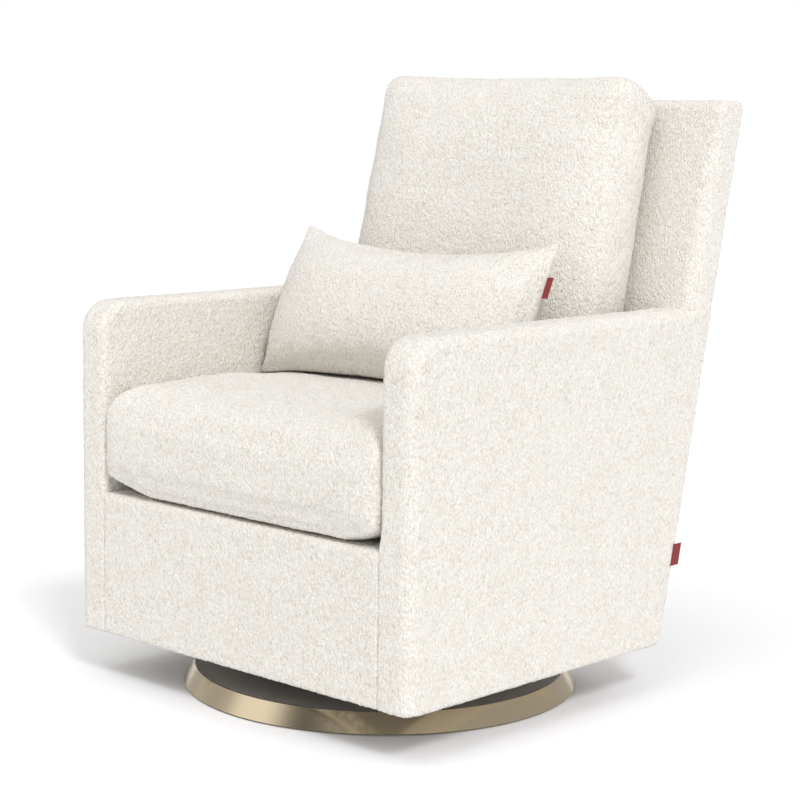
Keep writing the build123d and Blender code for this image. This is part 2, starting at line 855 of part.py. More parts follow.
def webbing_spans():
    """Heights of the straps that cross the two open bays of the back frame."""
    spans = []
    for low, high in (("lower", "middle"), ("middle", "top")):
        start = back_rail_levels[low][1]
        bay = back_rail_levels[high][0] - start
        spans += [start + bay * share - webbing_width / 2 for share in (1 / 3, 2 / 3)]
    return spans


with BuildPart() as back_webbing:
    front_of_frame = back_board_forward + back_board
    for bottom in webbing_spans():
        with BuildSketch(Plane.YZ.offset(-back_rail_x - post_width / 2)):
            raked_slab(
                front_of_frame,
                front_of_frame + webbing_thickness,
                bottom,
                bottom + webbing_width,
            )
        extrude(amount=2 * back_rail_x + post_width)
save(back_webbing, "back_webbing")

# ---- Seat springs and deck -----------------------------------------------------------

sinuous_places = [sinuous_spacing * (i - (sinuous_count - 1) / 2) for i in range(sinuous_count)]
sinuous_start = front_board_y[0] + board / 2
sinuous_end = rear_board_y[0] + board / 2
sinuous_bends = int((sinuous_end - sinuous_start) // sinuous_pitch)
sinuous_step = (sinuous_end - sinuous_start) / sinuous_bends
wire_z = frame_top + wire / 2 + clearance / 2


def sinuous_spring(x):
    """One zigzag spring: straight cross runs joined by half circles."""
    with BuildLine() as path:
        side = 1
        for bend in range(sinuous_bends):
            y = sinuous_start + bend * sinuous_step
            turn = x + side * sinuous_half_width
            Line((x - side * sinuous_half_width, y, wire_z), (turn, y, wire_z))
            ThreePointArc(
                (turn, y, wire_z),
                (turn + side * sinuous_step / 2, y + sinuous_step / 2, wire_z),
                (turn, y + sinuous_step, wire_z),
            )
            side = -side
        last_y = sinuous_start + sinuous_bends * sinuous_step
        Line(
            (x - side * sinuous_half_width, last_y, wire_z),
            (x + side * sinuous_half_width, last_y, wire_z),
        )
    with BuildSketch(Plane(origin=path.line @ 0, z_dir=path.line % 0)) as section:
        Circle(wire / 2)
    sweep(section.sketch, path=path.line)


with BuildPart() as seat_springs:
    for place in sinuous_places:
        sinuous_spring(place)
save(seat_springs, "seat_springs")

with BuildPart() as spring_clips:
    clip_width, clip_depth = clip_size
    for place in sinuous_places:
        for y, inward in ((sinuous_start, -1), (sinuous_end, 1)):
            near = y + inward * (wire / 2 + clearance)
            far = near + inward * clip_depth
            box(
                (place - clip_width / 2, place + clip_width / 2),
                sorted((near, far)),
                (frame_top, frame_top + clip_plate),
            )
            box(
                (place - clip_width / 2, place + clip_width / 2),
                sorted((near, near + inward * clip_plate)),
                (frame_top, deck_bottom - clearance),
            )
save(spring_clips, "spring_clips")

deck_back = rear_y(deck_bottom, back_slab) - clearance
deck_front = front_y + front_lip + clearance

with BuildPart() as seat_deck:
    box((-inner_x + clearance, inner_x - clearance), (deck_front, deck_back), (deck_bottom, rail_top))
save(seat_deck, "seat_deck")

# ---- Covers ---------------------------------------------------------------------------

panel_x = outer_x - cover_panel_margin
panel_bottom = body_bottom + cover_panel_margin
panel_top = back_top - cover_panel_margin


def rear_panel(mode=Mode.ADD):
    """The flat panel that closes the rear face."""
    with BuildSketch(Plane.YZ.offset(-panel_x)) as section:
        raked_slab(0, cover_panel, panel_bottom, panel_top)
    extrude(section.sketch, amount=2 * panel_x, mode=mode)


def on_rear(edge):
    """True for an edge that lies in the raked rear face."""
    middle = edge @ 0.5
    return rear_y(middle.Z) - middle.Y < 1


def along_arm(edge):
    """True for the edges round the front and top of an arm, not the hem or the rear."""
    return (edge @ 0.5).Z > body_bottom + 1 and not on_rear(edge)


with BuildPart() as arm_cover_right:
    with BuildSketch(Plane.YZ.offset(inner_x)) as arm_side:
        with BuildLine():
            Polyline(
                (front_y, body_bottom),
                (front_y, arm_top),
                (rear_y(arm_top), arm_top),
                (rear_y(body_bottom), body_bottom),
                close=True,
            )
        make_face()
        fillet(front_top_corner(arm_side), radius=arm_corner_radius)
    extrude(amount=arm_thickness)
    fillet(arm_cover_right.edges().group_by(Axis.X)[-1].filter_by(along_arm), radius=arm_outer_radius)
    fillet(arm_cover_right.edges().group_by(Axis.X)[0].filter_by(along_arm), radius=arm_inner_radius)
    # Under the back slab and beside the front rail the arm keeps its square edge.
    with BuildSketch(Plane.YZ.offset(inner_x)):
        raked_slab(0, back_slab, body_bottom, arm_top)
    extrude(amount=arm_thickness)
    box(
        (inner_x, inner_x + arm_inner_radius),
        (front_y, front_y + arm_inner_radius),
        (body_bottom, rail_top),
    )
    rear_outer = arm_cover_right.faces().sort_by(Axis.Y)[-1].edges().sort_by(Axis.X)[-1]
    fillet(rear_outer, radius=rear_edge_radius)
    hem = arm_cover_right.faces().sort_by(Axis.Z)[0].edges()
    fillet(hem.filter_by(lambda e: (e @ 0.5).X > inner_x + 1), radius=hem_radius)
    arm_frame_prism(body_bottom, Mode.SUBTRACT)
    rear_panel(Mode.SUBTRACT)
save(arm_cover_right, "arm_cover_right")

with BuildPart() as arm_cover_left:
    mirror(arm_cover_right.part, about=Plane.YZ)
save(arm_cover_left, "arm_cover_left")

with BuildPart() as front_cover:
    box((-inner_x, inner_x), (front_y, front_board_y[0]), (body_bottom, rail_top))
    box((-inner_x, inner_x), (front_board_y[0], front_y + front_lip), (deck_bottom, rail_top))
    long_edges = front_cover.edges().filter_by(Axis.X).group_by(Axis.Y)[0]
    fillet(long_edges.sort_by(Axis.Z)[-1], radius=front_top_radius)
    fillet(long_edges.sort_by(Axis.Z)[0], radius=hem_radius)
save(front_cover, "front_cover")


def above_arms(edge):
    """True for the outer edges of the back slab above the arms, not for its foot."""
    return (edge @ 0.5).Z > arm_top + 1


with BuildPart() as back_cover:
    with BuildSketch(Plane.YZ.offset(-outer_x)):
        raked_slab(0, back_slab, arm_top, back_top)
    extrude(amount=overall_width)
    soft_edges = back_cover.edges().filter_by(above_arms)
    fillet(soft_edges.filter_by(lambda e: not on_rear(e)), radius=back_edge_radius)
    tight_edges = back_cover.edges().filter_by(above_arms)
    fillet(tight_edges.filter_by(on_rear), radius=rear_edge_radius)
    with BuildSketch(Plane.YZ.offset(-inner_x)):
        raked_slab(0, back_slab, body_bottom, arm_top)
    extrude(amount=2 * inner_x)
    for timber in (back_post_left, back_post_right, back_rails, back_webbing):
        add(timber.part, mode=Mode.SUBTRACT)
    rear_panel(Mode.SUBTRACT)
save(back_cover, "back_cover")

with BuildPart() as back_panel:
    rear_panel()
save(back_panel, "back_panel")

with BuildPart() as dust_cover:
    cover_y = (front_board_y[0], rear_y(body_bottom, back_slab) - clearance)
    box((-inner_x, inner_x), cover_y, (body_bottom, frame_bottom))
    with BuildSketch(Plane.XY.offset(body_bottom)):
        with Locations((0, axis_y)):
            RectangleRounded(*dust_opening, plate_corner_radius)
    extrude(amount=dust_cover_thickness, mode=Mode.SUBTRACT)
save(dust_cover, "dust_cover")

# ---- Cushions ---------------------------------------------------------------------------


def cushion_levels(height, low_radius, high_radius, crown, skin):
    """(level, inset) of each section up through a boxed cushion with a crowned top.

    The lower edge is a quarter round, the side is upright, the upper edge is most of
    a quarter round and the crown runs in from it. `skin` draws the shape in all round.
    """
    quarter = [radians(a) for a in (90, 70, 50, 25, 0)]
    low = [(low_radius * (1 - sin(a)), low_radius * (1 - cos(a))) for a in quarter]
    shoulder = [radians(a) for a in (0, 25, 45, 65)]
    high = [(height - high_radius * (1 - sin(a)), high_radius * (1 - cos(a))) for a in shoulder]
    level, inset = high[-1]
    rise = height + crown - level
    run = crown_reach - inset
    top = [(level + rise * (1 - (1 - s) ** 2), inset + run * s) for s in (0.25, 0.5, 0.75, 1.0)]
    squeeze = 1 - 2 * skin / (height + crown)
    return [(skin + z * squeeze, i + skin) for z, i in low + high + top]


seat_cushion_rear = back_slab + back_cushion_thickness + back_cushion_crown + seat_rear_gap


def corner_at(radius, inset):
    """Corner radius of a section: it tightens a little towards the crown."""
    return radius - 0.1 * inset


def seat_cushion_solid(skin=0.0, mode=Mode.ADD):
    """The seat cushion, drawn in by `skin`, between the arms and the back cushion."""
    sections = []
    levels = cushion_levels(
        seat_edge_height, seat_low_radius, seat_high_radius, seat_crown, skin
    )
    for level, inset in levels:
        z = seat_bottom + level
        near = front_y + inset
        far = rear_y(z, seat_cushion_rear) - inset
        half = inner_x - seat_side_gap - inset
        with BuildSketch(Plane((0, (near + far) / 2, z))) as section:
            RectangleRounded(2 * half, far - near, corner_at(seat_corner_radius, inset))
        sections.append(section.sketch)
    loft(sections, ruled=True, mode=mode)


def back_cushion_solid(skin=0.0, mode=Mode.ADD):
    """The back cushion, drawn in by `skin`, standing on the deck against the back slab."""
    sections = []
    levels = cushion_levels(
        back_cushion_thickness,
        back_cushion_rear_radius,
        back_cushion_front_radius,
        back_cushion_crown,
        skin,
    )
    foot = (rail_top + clearance - body_bottom) / cos(rake)
    head = (back_cushion_top - body_bottom) / cos(rake)
    for level, inset in levels:
        low, high = foot + inset, head - inset
        wide, narrow = back_cushion_bottom_half - inset, back_cushion_top_half - inset
        with BuildSketch(back_plane(back_slab + clearance + level)) as section:
            with BuildLine():
                askew = back_cushion_skew
                Polyline((-narrow, high), (-wide - askew, low), (wide - askew, low), (narrow, high))
                ThreePointArc(
                    (narrow, high), (0, high - back_cushion_top_sag), (-narrow, high)
                )
            make_face()
            fillet(section.vertices(), radius=corner_at(back_cushion_corner_radius, inset))
        sections.append(section.sketch)
    loft(sections, ruled=True, mode=mode)


def pillow_plane(forward=0.0):
    """Plane of the pillow's seam, moved forward square to it."""
    lean = radians(pillow_lean)
    height = rail_top + pillow_centre_height
    back_front = back_slab + back_cushion_thickness + back_cushion_crown
    setback_y = rear_y(height, back_front) - pillow_back_gap
    centre = Vector(pillow_side_shift, setback_y, height)
    normal = Vector(0, -cos(lean), sin(lean))
    return Plane(origin=centre + normal * forward, x_dir=(1, 0, 0), z_dir=normal)


def pillow_solid(skin=0.0, mode=Mode.ADD):
    """The knife-edge pillow, drawn in by `skin`: two swelling halves on one seam."""
    sections = []
    crest_radius = 0.8 * (pillow_height / 2 - pillow_reach)
    for share in (0, 0.08, 0.2, 0.35, 0.55, 0.75, 1.0):
        inset = skin + (pillow_reach - skin) * share
        half_width = pillow_width / 2 - inset
        half_height = pillow_height / 2 - inset
        rise = (pillow_thickness / 2 - skin) * (1 - (1 - share) ** 2)
        fade = 1 - 0.7 * share
        top_sag, bottom_sag = pillow_top_sag * fade, pillow_bottom_sag * fade
        with BuildSketch(pillow_plane(rise)) as section:
            with BuildLine():
                Line((-half_width, half_height), (-half_width, -half_height))
                ThreePointArc(
                    (-half_width, -half_height),
                    (0, bottom_sag - half_height),
                    (half_width, -half_height),
                )
                Line((half_width, -half_height), (half_width, half_height))
                ThreePointArc(
                    (half_width, half_height),
                    (0, half_height - top_sag),
                    (-half_width, half_height),
                )
            make_face()
            corner = pillow_ear_radius + (crest_radius - pillow_ear_radius) * share
            fillet(section.vertices(), radius=corner)
        sections.append(section.sketch)
    with BuildPart(mode=Mode.PRIVATE) as half:
        loft(sections, ruled=True)
    whole = half.part + half.part.mirror(pillow_plane())
    add(whole, mode=mode)


for solid, wrap, name in (
    (seat_cushion_solid, wadding, "seat_cushion"),
    (back_cushion_solid, wadding, "back_cushion"),
    (pillow_solid, pillow_wadding, "lumbar_pillow"),
):
    with BuildPart() as cushion_core:
        solid(wrap)
    save(cushion_core, f"{name}_core")
    with BuildPart() as cushion_cover:
        solid()
        solid(wrap, Mode.SUBTRACT)
    save(cushion_cover, f"{name}_cover")

# ---- Sewn-in tabs and zip -----------------------------------------------------------------

with BuildPart() as side_tab:
    with BuildSketch(Plane.YZ.offset(panel_x)):
        raked_slab(
            -tab_reach,
            -clearance,
            side_tab_height - tab_length / 2,
            side_tab_height + tab_length / 2,
        )
    extrude(amount=tab_thickness)
save(side_tab, "side_tab")

with BuildPart() as pillow_tab:
    with BuildSketch(pillow_plane(-tab_thickness / 2)):
        with Locations((pillow_width / 2 + pillow_tab_reach / 2, pillow_tab_offset)):
            Rectangle(pillow_tab_reach, tab_length)
    extrude(amount=tab_thickness)
save(pillow_tab, "pillow_tab")

with BuildPart() as seat_cushion_zip:
    zip_low = seat_bottom + seat_edge_height / 2 - zip_width / 2
    with BuildSketch(Plane.YZ.offset(-zip_length / 2)):
        raked_slab(
            seat_cushion_rear - zip_thickness, seat_cushion_rear, zip_low, zip_low + zip_width
        )
    extrude(amount=zip_length)
save(seat_cushion_zip, "seat_cushion_zip")
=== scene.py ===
"""Looks of the swivel rocker: boucle upholstery, loose cushions, brass-toned base.

Metres, +Z up, the front of the chair faces -Y. Every piece takes its place from the
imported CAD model; the soft pieces are built here and stand for their CAD solids.
"""

import json
import math

import bmesh
import bpy
import numpy as np
from mathutils import Matrix, Vector
from mathutils.bvhtree import BVHTree


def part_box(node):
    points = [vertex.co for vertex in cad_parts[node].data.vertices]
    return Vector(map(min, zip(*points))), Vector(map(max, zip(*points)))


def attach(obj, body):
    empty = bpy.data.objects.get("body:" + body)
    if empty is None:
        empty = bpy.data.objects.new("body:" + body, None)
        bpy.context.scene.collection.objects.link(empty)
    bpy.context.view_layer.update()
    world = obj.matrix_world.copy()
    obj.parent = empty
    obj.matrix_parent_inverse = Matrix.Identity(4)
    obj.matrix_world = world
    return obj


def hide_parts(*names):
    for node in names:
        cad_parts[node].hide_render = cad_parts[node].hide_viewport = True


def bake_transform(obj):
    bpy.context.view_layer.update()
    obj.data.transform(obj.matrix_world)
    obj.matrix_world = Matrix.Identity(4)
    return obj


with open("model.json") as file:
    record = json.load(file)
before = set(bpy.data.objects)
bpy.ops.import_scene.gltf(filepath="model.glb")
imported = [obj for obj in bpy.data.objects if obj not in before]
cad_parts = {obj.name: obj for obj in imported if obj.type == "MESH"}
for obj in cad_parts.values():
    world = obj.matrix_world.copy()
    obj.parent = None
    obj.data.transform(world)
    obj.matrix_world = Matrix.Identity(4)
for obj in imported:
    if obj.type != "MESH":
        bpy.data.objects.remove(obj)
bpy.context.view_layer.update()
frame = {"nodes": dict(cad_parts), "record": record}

# ---- Named values -------------------------------------------------------------

# Camera, solved from the straight edges of the photographed body
CAMERA_PLACE = Vector((2.3334, -2.5184, 0.9576))
CAMERA_TURN = math.radians(43.061)
CAMERA_PITCH = math.radians(8.205)
CAMERA_ROLL = math.radians(0.82)
SENSOR = 36.0
FOCAL_SHARE = 2.61154  # focal length as a share of the picture's width

# (bearing in degrees, brightness) of the room that the metal mirrors
ROOM = [
    (-180, 0.66),
    (-162, 0.54),
    (-150, 0.67),
    (-142, 1.20),
    (-124, 1.25),
    (-116, 0.95),
    (-109, 0.40),
    (-100, 0.17),
    (-84, 0.10),
    (-72, 0.30),
    (-60, 0.40),
    (-20, 0.45),
    (4, 0.55),
    (20, 0.90),
    (30, 1.60),
    (48, 1.60),
    (57, 0.90),
    (66, 0.66),
    (85, 0.70),
    (98, 1.60),
    (142, 1.60),
    (160, 0.80),
    (180, 0.66),
]

# Upholstery, as in the part's source
RAKE = math.radians(12.1)
ARM_CORNER = 0.050
ARM_OUTER = 0.021
ARM_INNER = 0.014
SEAM = 0.0022  # rounding of an edge that meets its neighbour in a seam
CLOSE_SEAM = 0.0008  # the same where the arm and the back are drawn tight together
HEM = 0.005
FRONT_TOP = 0.010
RAIL_TUCK = 0.0012  # how far the front rail reaches into the arms
BACK_EDGE = 0.012
SLAB_SIDE = 0.024  # rounding of the upright front edges of the back
REAR_EDGE = 0.003
REAR_PROUD = 0.002  # how far the cloth stands out behind the frame
TUCK = 0.022  # how far the back reaches down into the arms, so their seam stays faint
BACK_SLAB = 0.058
PANEL_MARGIN = 0.015
PANEL_CORNER = 0.008
PANEL_EDGES = (0.003, 0.001)  # rounding of the outer back's edges, outside and inside
PANEL_DEPTHS = (-0.0035, 0.003)  # its faces, in front of the raked rear face

# Cushions
SEAT_HEIGHT = 0.1743
SEAT_CROWN = 0.0075
CROWN_START = 0.024
CROWN_REACH = 0.150
# Per side, how far its lower corners are drawn up, from how far in, and how steeply
SEAT_LIFTS = {-1: (0.028, 0.105, 1.15), 1: (0.021, 0.085, 1.3)}
SEAT_RISE = 0.003
SEAT_FALL = 0.0075  # how much lower its top is under the pillow
RISE_START = (0.06, 0.15)  # over which depths the rise starts and ends, and the fall starts
RISE_END = (0.20, 0.28)
FALL_START = (0.22, 0.36)
FALL_MIDDLE, FALL_ASIDE = 0.55, 2.2  # the fall's share in the middle, its growth to the left
LIFT_HEIGHT, LIFT_POWER = 0.07, 1.5  # up to which height its lower corners are drawn up
SEAT_LOW = 0.024
SEAT_HIGH = 0.045
SEAT_CORNER = 0.013
SEAT_REAR = 0.222  # its rear, in front of the raked rear face of the chair
SEAT_NOSE = 0.006  # how far the front of the cushion bellies over the rail
BACK_CUSHION_TOP = 1.0065
BACK_CUSHION_SAG = 0.003  # how far the middle of its top hangs below the corners
BACK_CUSHION_DEPTH = 0.137
BACK_CUSHION_REAR = 0.060  # rounding round its rear face, and round its front face
BACK_CUSHION_FRONT = 0.040
BACK_CUSHION_CORNER = 0.030
BACK_CUSHION_CROWN = 0.023
BACK_CUSHION_HEAD = 0.2735
BACK_CUSHION_FOOT = 0.291
BACK_CUSHION_SLOPE = 0.036  # how far its top falls towards the rear
SLOPE_START, SLOPE_REACH = 0.185, 0.085  # from which depth it falls, and over how much
SLOPE_POWER = 1.6
BACK_CUSHION_UPPER = 0.12  # height of the part that the slope and the sag take in
BACK_CUSHION_SKEW = 0.0135  # its foot sits this far to the left of its head
PILLOW_LEAN = math.radians(24.7)
PILLOW_SINK = 0.0035  # how far it sits down into the seat
PILLOW_WIDTH = 0.574
PILLOW_HEIGHT = 0.284
PILLOW_THICKNESS = 0.146
PILLOW_POWER = 2.4  # the higher, the fuller it is beside its upper and lower seams
PILLOW_SIDE_POWER = 4.0
PILLOW_TOP_SAG = 0.031
PILLOW_BOTTOM_SAG = 0.014
PILLOW_SIDE_SAG = 0.002
PILLOW_CORNER = 34.0  # the higher, the more pointed its corners

TAPE_THICKNESS = 0.0018
TAPE_REACH = 0.0145
TAPE_ROOT = 0.005  # how far it reaches into the seam
NEIGHBOUR_GAP = 0.0008
CLOSE_GAP = 0.0003  # between the back cushion and what it is sewn to
PILLOW_GAP = 0.0016  # between the pillow's mesh and the seat's
WELT = 0.0016
WELT_BEAD = (0.009, 0.0035)  # level and width of the bead, and of the groove above it
WELT_GROOVE = (0.0165, 0.003)
GROOVE_SHARE = 0.8  # depth of the groove, as a share of the bead's height
NUB = 0.0010  # how far the loops of the fabric stand out
NUB_SPREAD = 0.45  # their uneven height, as a share of it
PADDING_WAVE = 0.09  # size of the padding's unevenness, and its height where cloth is
LOOSE_PUFF = 0.0008  # loose, on the pillow, and stretched over a frame
PILLOW_PUFF = 0.0006
TAUT_PUFF = 0.0003

# Voxels of the meshes: before a cushion is simulated, and for the surfaces that show
COARSE = 0.006
COARSE_SMOOTHING = 4
FINE = 0.0036
RAIL_FINE = 0.0034
BACK_FINE = 0.0040

# Simulated stuffing: pressure and the furthest that a point moves, and its frames
CUSHION_SWELL = (3.0, 0.004)
PILLOW_SWELL = (4.0, 0.008)
SWELL_FRAMES = 20

# Light: the way of the world's fill, its range, and what the floor shows the camera
FILL_WAY = (0.65, -0.35, 0.45)
FILL_LOW, FILL_HIGH = 0.35, 0.95
FLOOR_SIZE = 14.0
FLOOR_GREY = (0.92, 0.92, 0.92, 1.0)
FLOOR_SEEN = (0.95, 0.95, 0.955, 1.0)

# ---- Places read from the frame --------------------------------------------------

arm_low, arm_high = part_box("arm_cover_right")
front_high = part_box("front_cover")[1]
back_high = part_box("back_cover")[1]
seat_low, seat_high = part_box("seat_cushion_cover")

OUTER_X = arm_high.x
INNER_X = arm_low.x
FRONT_Y = arm_low.y
BOTTOM_Z = arm_low.z
ARM_TOP = arm_high.z
RAIL_TOP = front_high.z
BACK_TOP = back_high.z
FOOT_REAR_Y = FRONT_Y + 0.602  # foot of the raked rear face


def rear_y(z, forward=0.0):
    """Y of the plane `forward` in front of the raked rear face, at height z."""
    return FOOT_REAR_Y + (z - BOTTOM_Z) * math.tan(RAKE) - forward / math.cos(RAKE)


# ---- Materials ----------------------------------------------------------------------


class Shader:
    """A material with one Principled shader and the nodes that feed it."""

    def __init__(self, name, **sockets):
        self.material = bpy.data.materials.new(name)
        self.material.use_nodes = True
        self.tree = self.material.node_tree
        self.surface = self.tree.nodes["Principled BSDF"]
        for socket, value in sockets.items():
            self.surface.inputs[socket.replace("_", " ")].default_value = value
        self.place = self.node("TexCoord").outputs["Object"]

    def node(self, kind, inputs=None, **settings):
        """A new node; inputs are values or the outputs of other nodes."""
        node = self.tree.nodes.new("ShaderNode" + kind)
        for setting, value in settings.items():
            setattr(node, setting, value)
        for key, value in (inputs or {}).items():
            if isinstance(value, bpy.types.NodeSocket):
                self.tree.links.new(value, node.inputs[key])
            else:
                node.inputs[key].default_value = value
        return node

    def scaled(self, scale, source=None):
        """The object's own coordinates, stretched."""
        where = self.place if source is None else source
        return self.node("Mapping", {"Vector": where, "Scale": scale}).outputs["Vector"]

    def noise(self, scale, detail=2.0, where=None, roughness=0.5):
        """Grey clouds of about 1 / scale metres."""
        where = self.place if where is None else where
        inputs = {"Vector": where, "Scale": scale, "Detail": detail, "Roughness": roughness}
        return self.node("TexNoise", inputs).outputs["Fac"]

    def math(self, operation, first, second):
        """A sum, a product or another operation on two values."""
        return self.node("Math", {0: first, 1: second}, operation=operation).outputs[0]

    def ramp(self, factor, *stops):
        """A colour ramp through (position, colour) stops."""
        node = self.node("ValToRGB", {"Fac": factor})
        elements = node.color_ramp.elements
        while len(elements) < len(stops):
            elements.new(0.5)
        for element, (position, colour) in zip(elements, stops):
            element.position = position
            element.color = (*colour, 1.0)
        return node.outputs["Color"]

    def mix(self, factor, first, second, blend="MIX"):
        """Two colours blended by a factor."""
        node = self.node("Mix", {"Factor": factor}, data_type="RGBA", blend_type=blend)
        for index, value in ((6, first), (7, second)):
            if isinstance(value, bpy.types.NodeSocket):
                self.tree.links.new(value, node.inputs[index])
            else:
                node.inputs[index].default_value = (*value, 1.0)
        return node.outputs[2]

    def colour(self, output):
        """Feed the base colour."""
        self.tree.links.new(output, self.surface.inputs["Base Color"])

    def rough(self, factor, low, high):
        """Feed the roughness, between two values."""
        inputs = {"Value": factor, "To Min": low, "To Max": high}
        output = self.node("MapRange", inputs).outputs["Result"]
        self.tree.links.new(output, self.surface.inputs["Roughness"])

    def bump(self, height, distance, strength=1.0):
        """Feed the normal from a height."""
        inputs = {"Height": height, "Distance": distance, "Strength": strength}
        output = self.node("Bump", inputs).outputs["Normal"]
        self.tree.links.new(output, self.surface.inputs["Normal"])


def boucle(name):
    """Cream looped wool: small uneven loops with beige flecks, and painted shade that darkens the
    hollows between them.
    """
    s = Shader(name, Roughness=0.92, Sheen_Weight=0.18, Sheen_Roughness=0.5)
    s.surface.inputs["Specular IOR Level"].default_value = 0.12
    wander = s.node("TexNoise", {"Vector": s.place, "Scale": 160.0, "Detail": 2.0}).outputs["Color"]
    bend = s.node("VectorMath", {0: wander, 1: (0.5, 0.5, 0.5)}, operation="SUBTRACT").outputs[0]
    bend = s.node("VectorMath", {0: bend, "Scale": 0.005}, operation="SCALE").outputs[0]
    bent = s.node("VectorMath", {0: s.place, 1: bend}, operation="ADD").outputs[0]
    tall = s.scaled((1.0, 1.0, 0.5), bent)
    loops = s.node("TexVoronoi", {"Vector": tall, "Scale": 420.0})
    knots = s.node("TexVoronoi", {"Vector": tall, "Scale": 260.0})
    fibre = s.noise(1400.0, 2.0, tall)
    patches = s.noise(22.0, 3.0)
    fleck = s.ramp(
        knots.outputs["Color"],
        (0.0, (0.82, 0.785, 0.72)),
        (0.2, (0.915, 0.892, 0.848)),
        (0.6, (0.95, 0.934, 0.898)),
        (1.0, (0.97, 0.957, 0.93)),
    )
    # Painted shade: the hollows between the loops are darkened and warmed in the colour, as if
    # shaded.
    painted_hollow_shade = s.math("MULTIPLY", loops.outputs["Distance"], loops.outputs["Distance"])
    shade = s.ramp(painted_hollow_shade, (0.0, (1.0, 1.0, 1.0)), (0.75, (0.81, 0.767, 0.695)))
    toned = s.mix(1.0, fleck, shade, "MULTIPLY")
    tint = s.ramp(patches, (0.35, (0.985, 0.98, 0.97)), (0.65, (1.0, 1.0, 1.0)))
    s.colour(s.mix(1.0, toned, tint, "MULTIPLY"))
    height = s.math("SUBTRACT", 1.0, loops.outputs["Distance"])
    height = s.math("SUBTRACT", height, s.math("MULTIPLY", knots.outputs["Distance"], 0.8))
    height = s.math("ADD", height, s.math("MULTIPLY", fibre, 0.35))
    s.bump(height, 0.0026, 0.75)
    return s.material


def woven(name, colour, thread=900.0):
    """A plain weave of crossing threads."""
    s = Shader(name, Roughness=0.85, Sheen_Weight=0.1)
    across = s.node("TexWave", {"Vector": s.place, "Scale": thread / 6.0}, bands_direction="X")
    along = s.node("TexWave", {"Vector": s.place, "Scale": thread / 6.0}, bands_direction="Z")
    weave = s.math("MULTIPLY", across.outputs["Fac"], along.outputs["Fac"])
    dark = [c * 0.72 for c in colour]
    s.colour(s.mix(weave, dark, colour))
    s.bump(weave, 0.0003, 0.6)
    return s.material


def brushed_metal(name, colour, streak=(40.0, 40.0, 2600.0), roughness=(0.22, 0.36)):
    """Metal with fine brushed lines that run round the turned part."""
    s = Shader(name, Metallic=1.0, Roughness=0.3)
    lines = s.noise(1.0, 3.0, s.scaled(streak), 0.65)
    clouds = s.noise(9.0, 2.0)
    dark = [c * 0.86 for c in colour]
    s.colour(s.mix(s.math("MULTIPLY", lines, 0.9), dark, colour))
    wear = s.math("ADD", s.math("MULTIPLY", lines, 0.6), s.math("MULTIPLY", clouds, 0.4))
    s.rough(wear, *roughness)
    s.bump(lines, 0.00006, 0.5)
    return s.material


def painted(name, colour, roughness=(0.42, 0.58)):
    """Powder coat: a fine orange-peel skin."""
    s = Shader(name, Roughness=0.5)
    peel = s.noise(900.0, 2.0)
    clouds = s.noise(14.0, 3.0)
    s.colour(s.mix(clouds, [c * 0.85 for c in colour], colour))
    s.rough(clouds, *roughness)
    s.bump(peel, 0.0001, 0.4)
    return s.material


def timber(name, colour):
    """Sawn wood with its grain along the object's length."""
    s = Shader(name, Roughness=0.7)
    grain = s.noise(14.0, 5.0, s.scaled((1.0, 6.0, 9.0)), 0.6)
    pores = s.noise(260.0, 2.0, s.scaled((0.2, 1.0, 1.0)))
    dark = [c * 0.62 for c in colour]
    s.colour(s.mix(grain, dark, colour))
    s.bump(pores, 0.0002, 0.5)
    return s.material


def moulded(name, colour, roughness=(0.45, 0.6)):
    """Moulded plastic or rubber with a fine grain."""
    s = Shader(name, Roughness=0.5)
    grain = s.noise(1400.0, 2.0)
    s.colour(s.mix(s.noise(30.0), [c * 0.85 for c in colour], colour))
    s.rough(grain, *roughness)
    s.bump(grain, 0.00008, 0.5)
    return s.material


def felt(name, colour):
    """Non-woven cloth or foam: matted short fibres."""
    s = Shader(name, Roughness=0.95)
    fibres = s.noise(700.0, 4.0, None, 0.7)
    s.colour(s.mix(fibres, [c * 0.7 for c in colour], colour))
    s.bump(fibres, 0.0004, 0.5)
    return s.material


finishes = {
    "boucle_cover": boucle("boucle_cover"),
    "brushed_brass_tone": brushed_metal(
        "brushed_brass_tone", (0.67, 0.56, 0.39), roughness=(0.10, 0.17)
    ),
    "grey_painted_steel": painted("grey_painted_steel", (0.44, 0.41, 0.38), (0.28, 0.40)),
    "black_steel": painted("black_steel", (0.03, 0.03, 0.032)),
    "bright_steel": brushed_metal("bright_steel", (0.56, 0.56, 0.57), (900.0, 900.0, 60.0)),
    "nylon": moulded("nylon", (0.04, 0.04, 0.042)),
    "spring_steel": brushed_metal("spring_steel", (0.33, 0.33, 0.34), (60.0, 60.0, 60.0)),
    "black_rubber": moulded("black_rubber", (0.025, 0.025, 0.025), (0.65, 0.8)),
    "frame_timber": timber("frame_timber", (0.56, 0.40, 0.24)),
    "webbing": woven("webbing", (0.16, 0.14, 0.12)),
    "deck_cloth": woven("deck_cloth", (0.80, 0.77, 0.71)),
    "dust_cloth": felt("dust_cloth", (0.40, 0.39, 0.37)),
    "cushion_filling": felt("cushion_filling", (0.90, 0.88, 0.80)),
    "plain_tab": woven("plain_tab", (0.32, 0.03, 0.032), 2600.0),
    "zip_tape": woven("zip_tape", (0.76, 0.73, 0.67), 1500.0),
}

slot_of = {s["node"]: s["material_slot"] for s in frame["record"]["subparts"]}
for node_name, node in frame["nodes"].items():
    node.data.materials.clear()
    node.data.materials.append(finishes[slot_of[node_name]])

# ---- Mesh helpers -----------------------------------------------------------------------


def new_object(name, mesh, slot="boucle_cover"):
    """An object with its finish, linked into the scene."""
    piece = bpy.data.objects.new(name, mesh)
    bpy.context.scene.collection.objects.link(piece)
    mesh.materials.clear()
    mesh.materials.append(finishes[slot])
    return piece


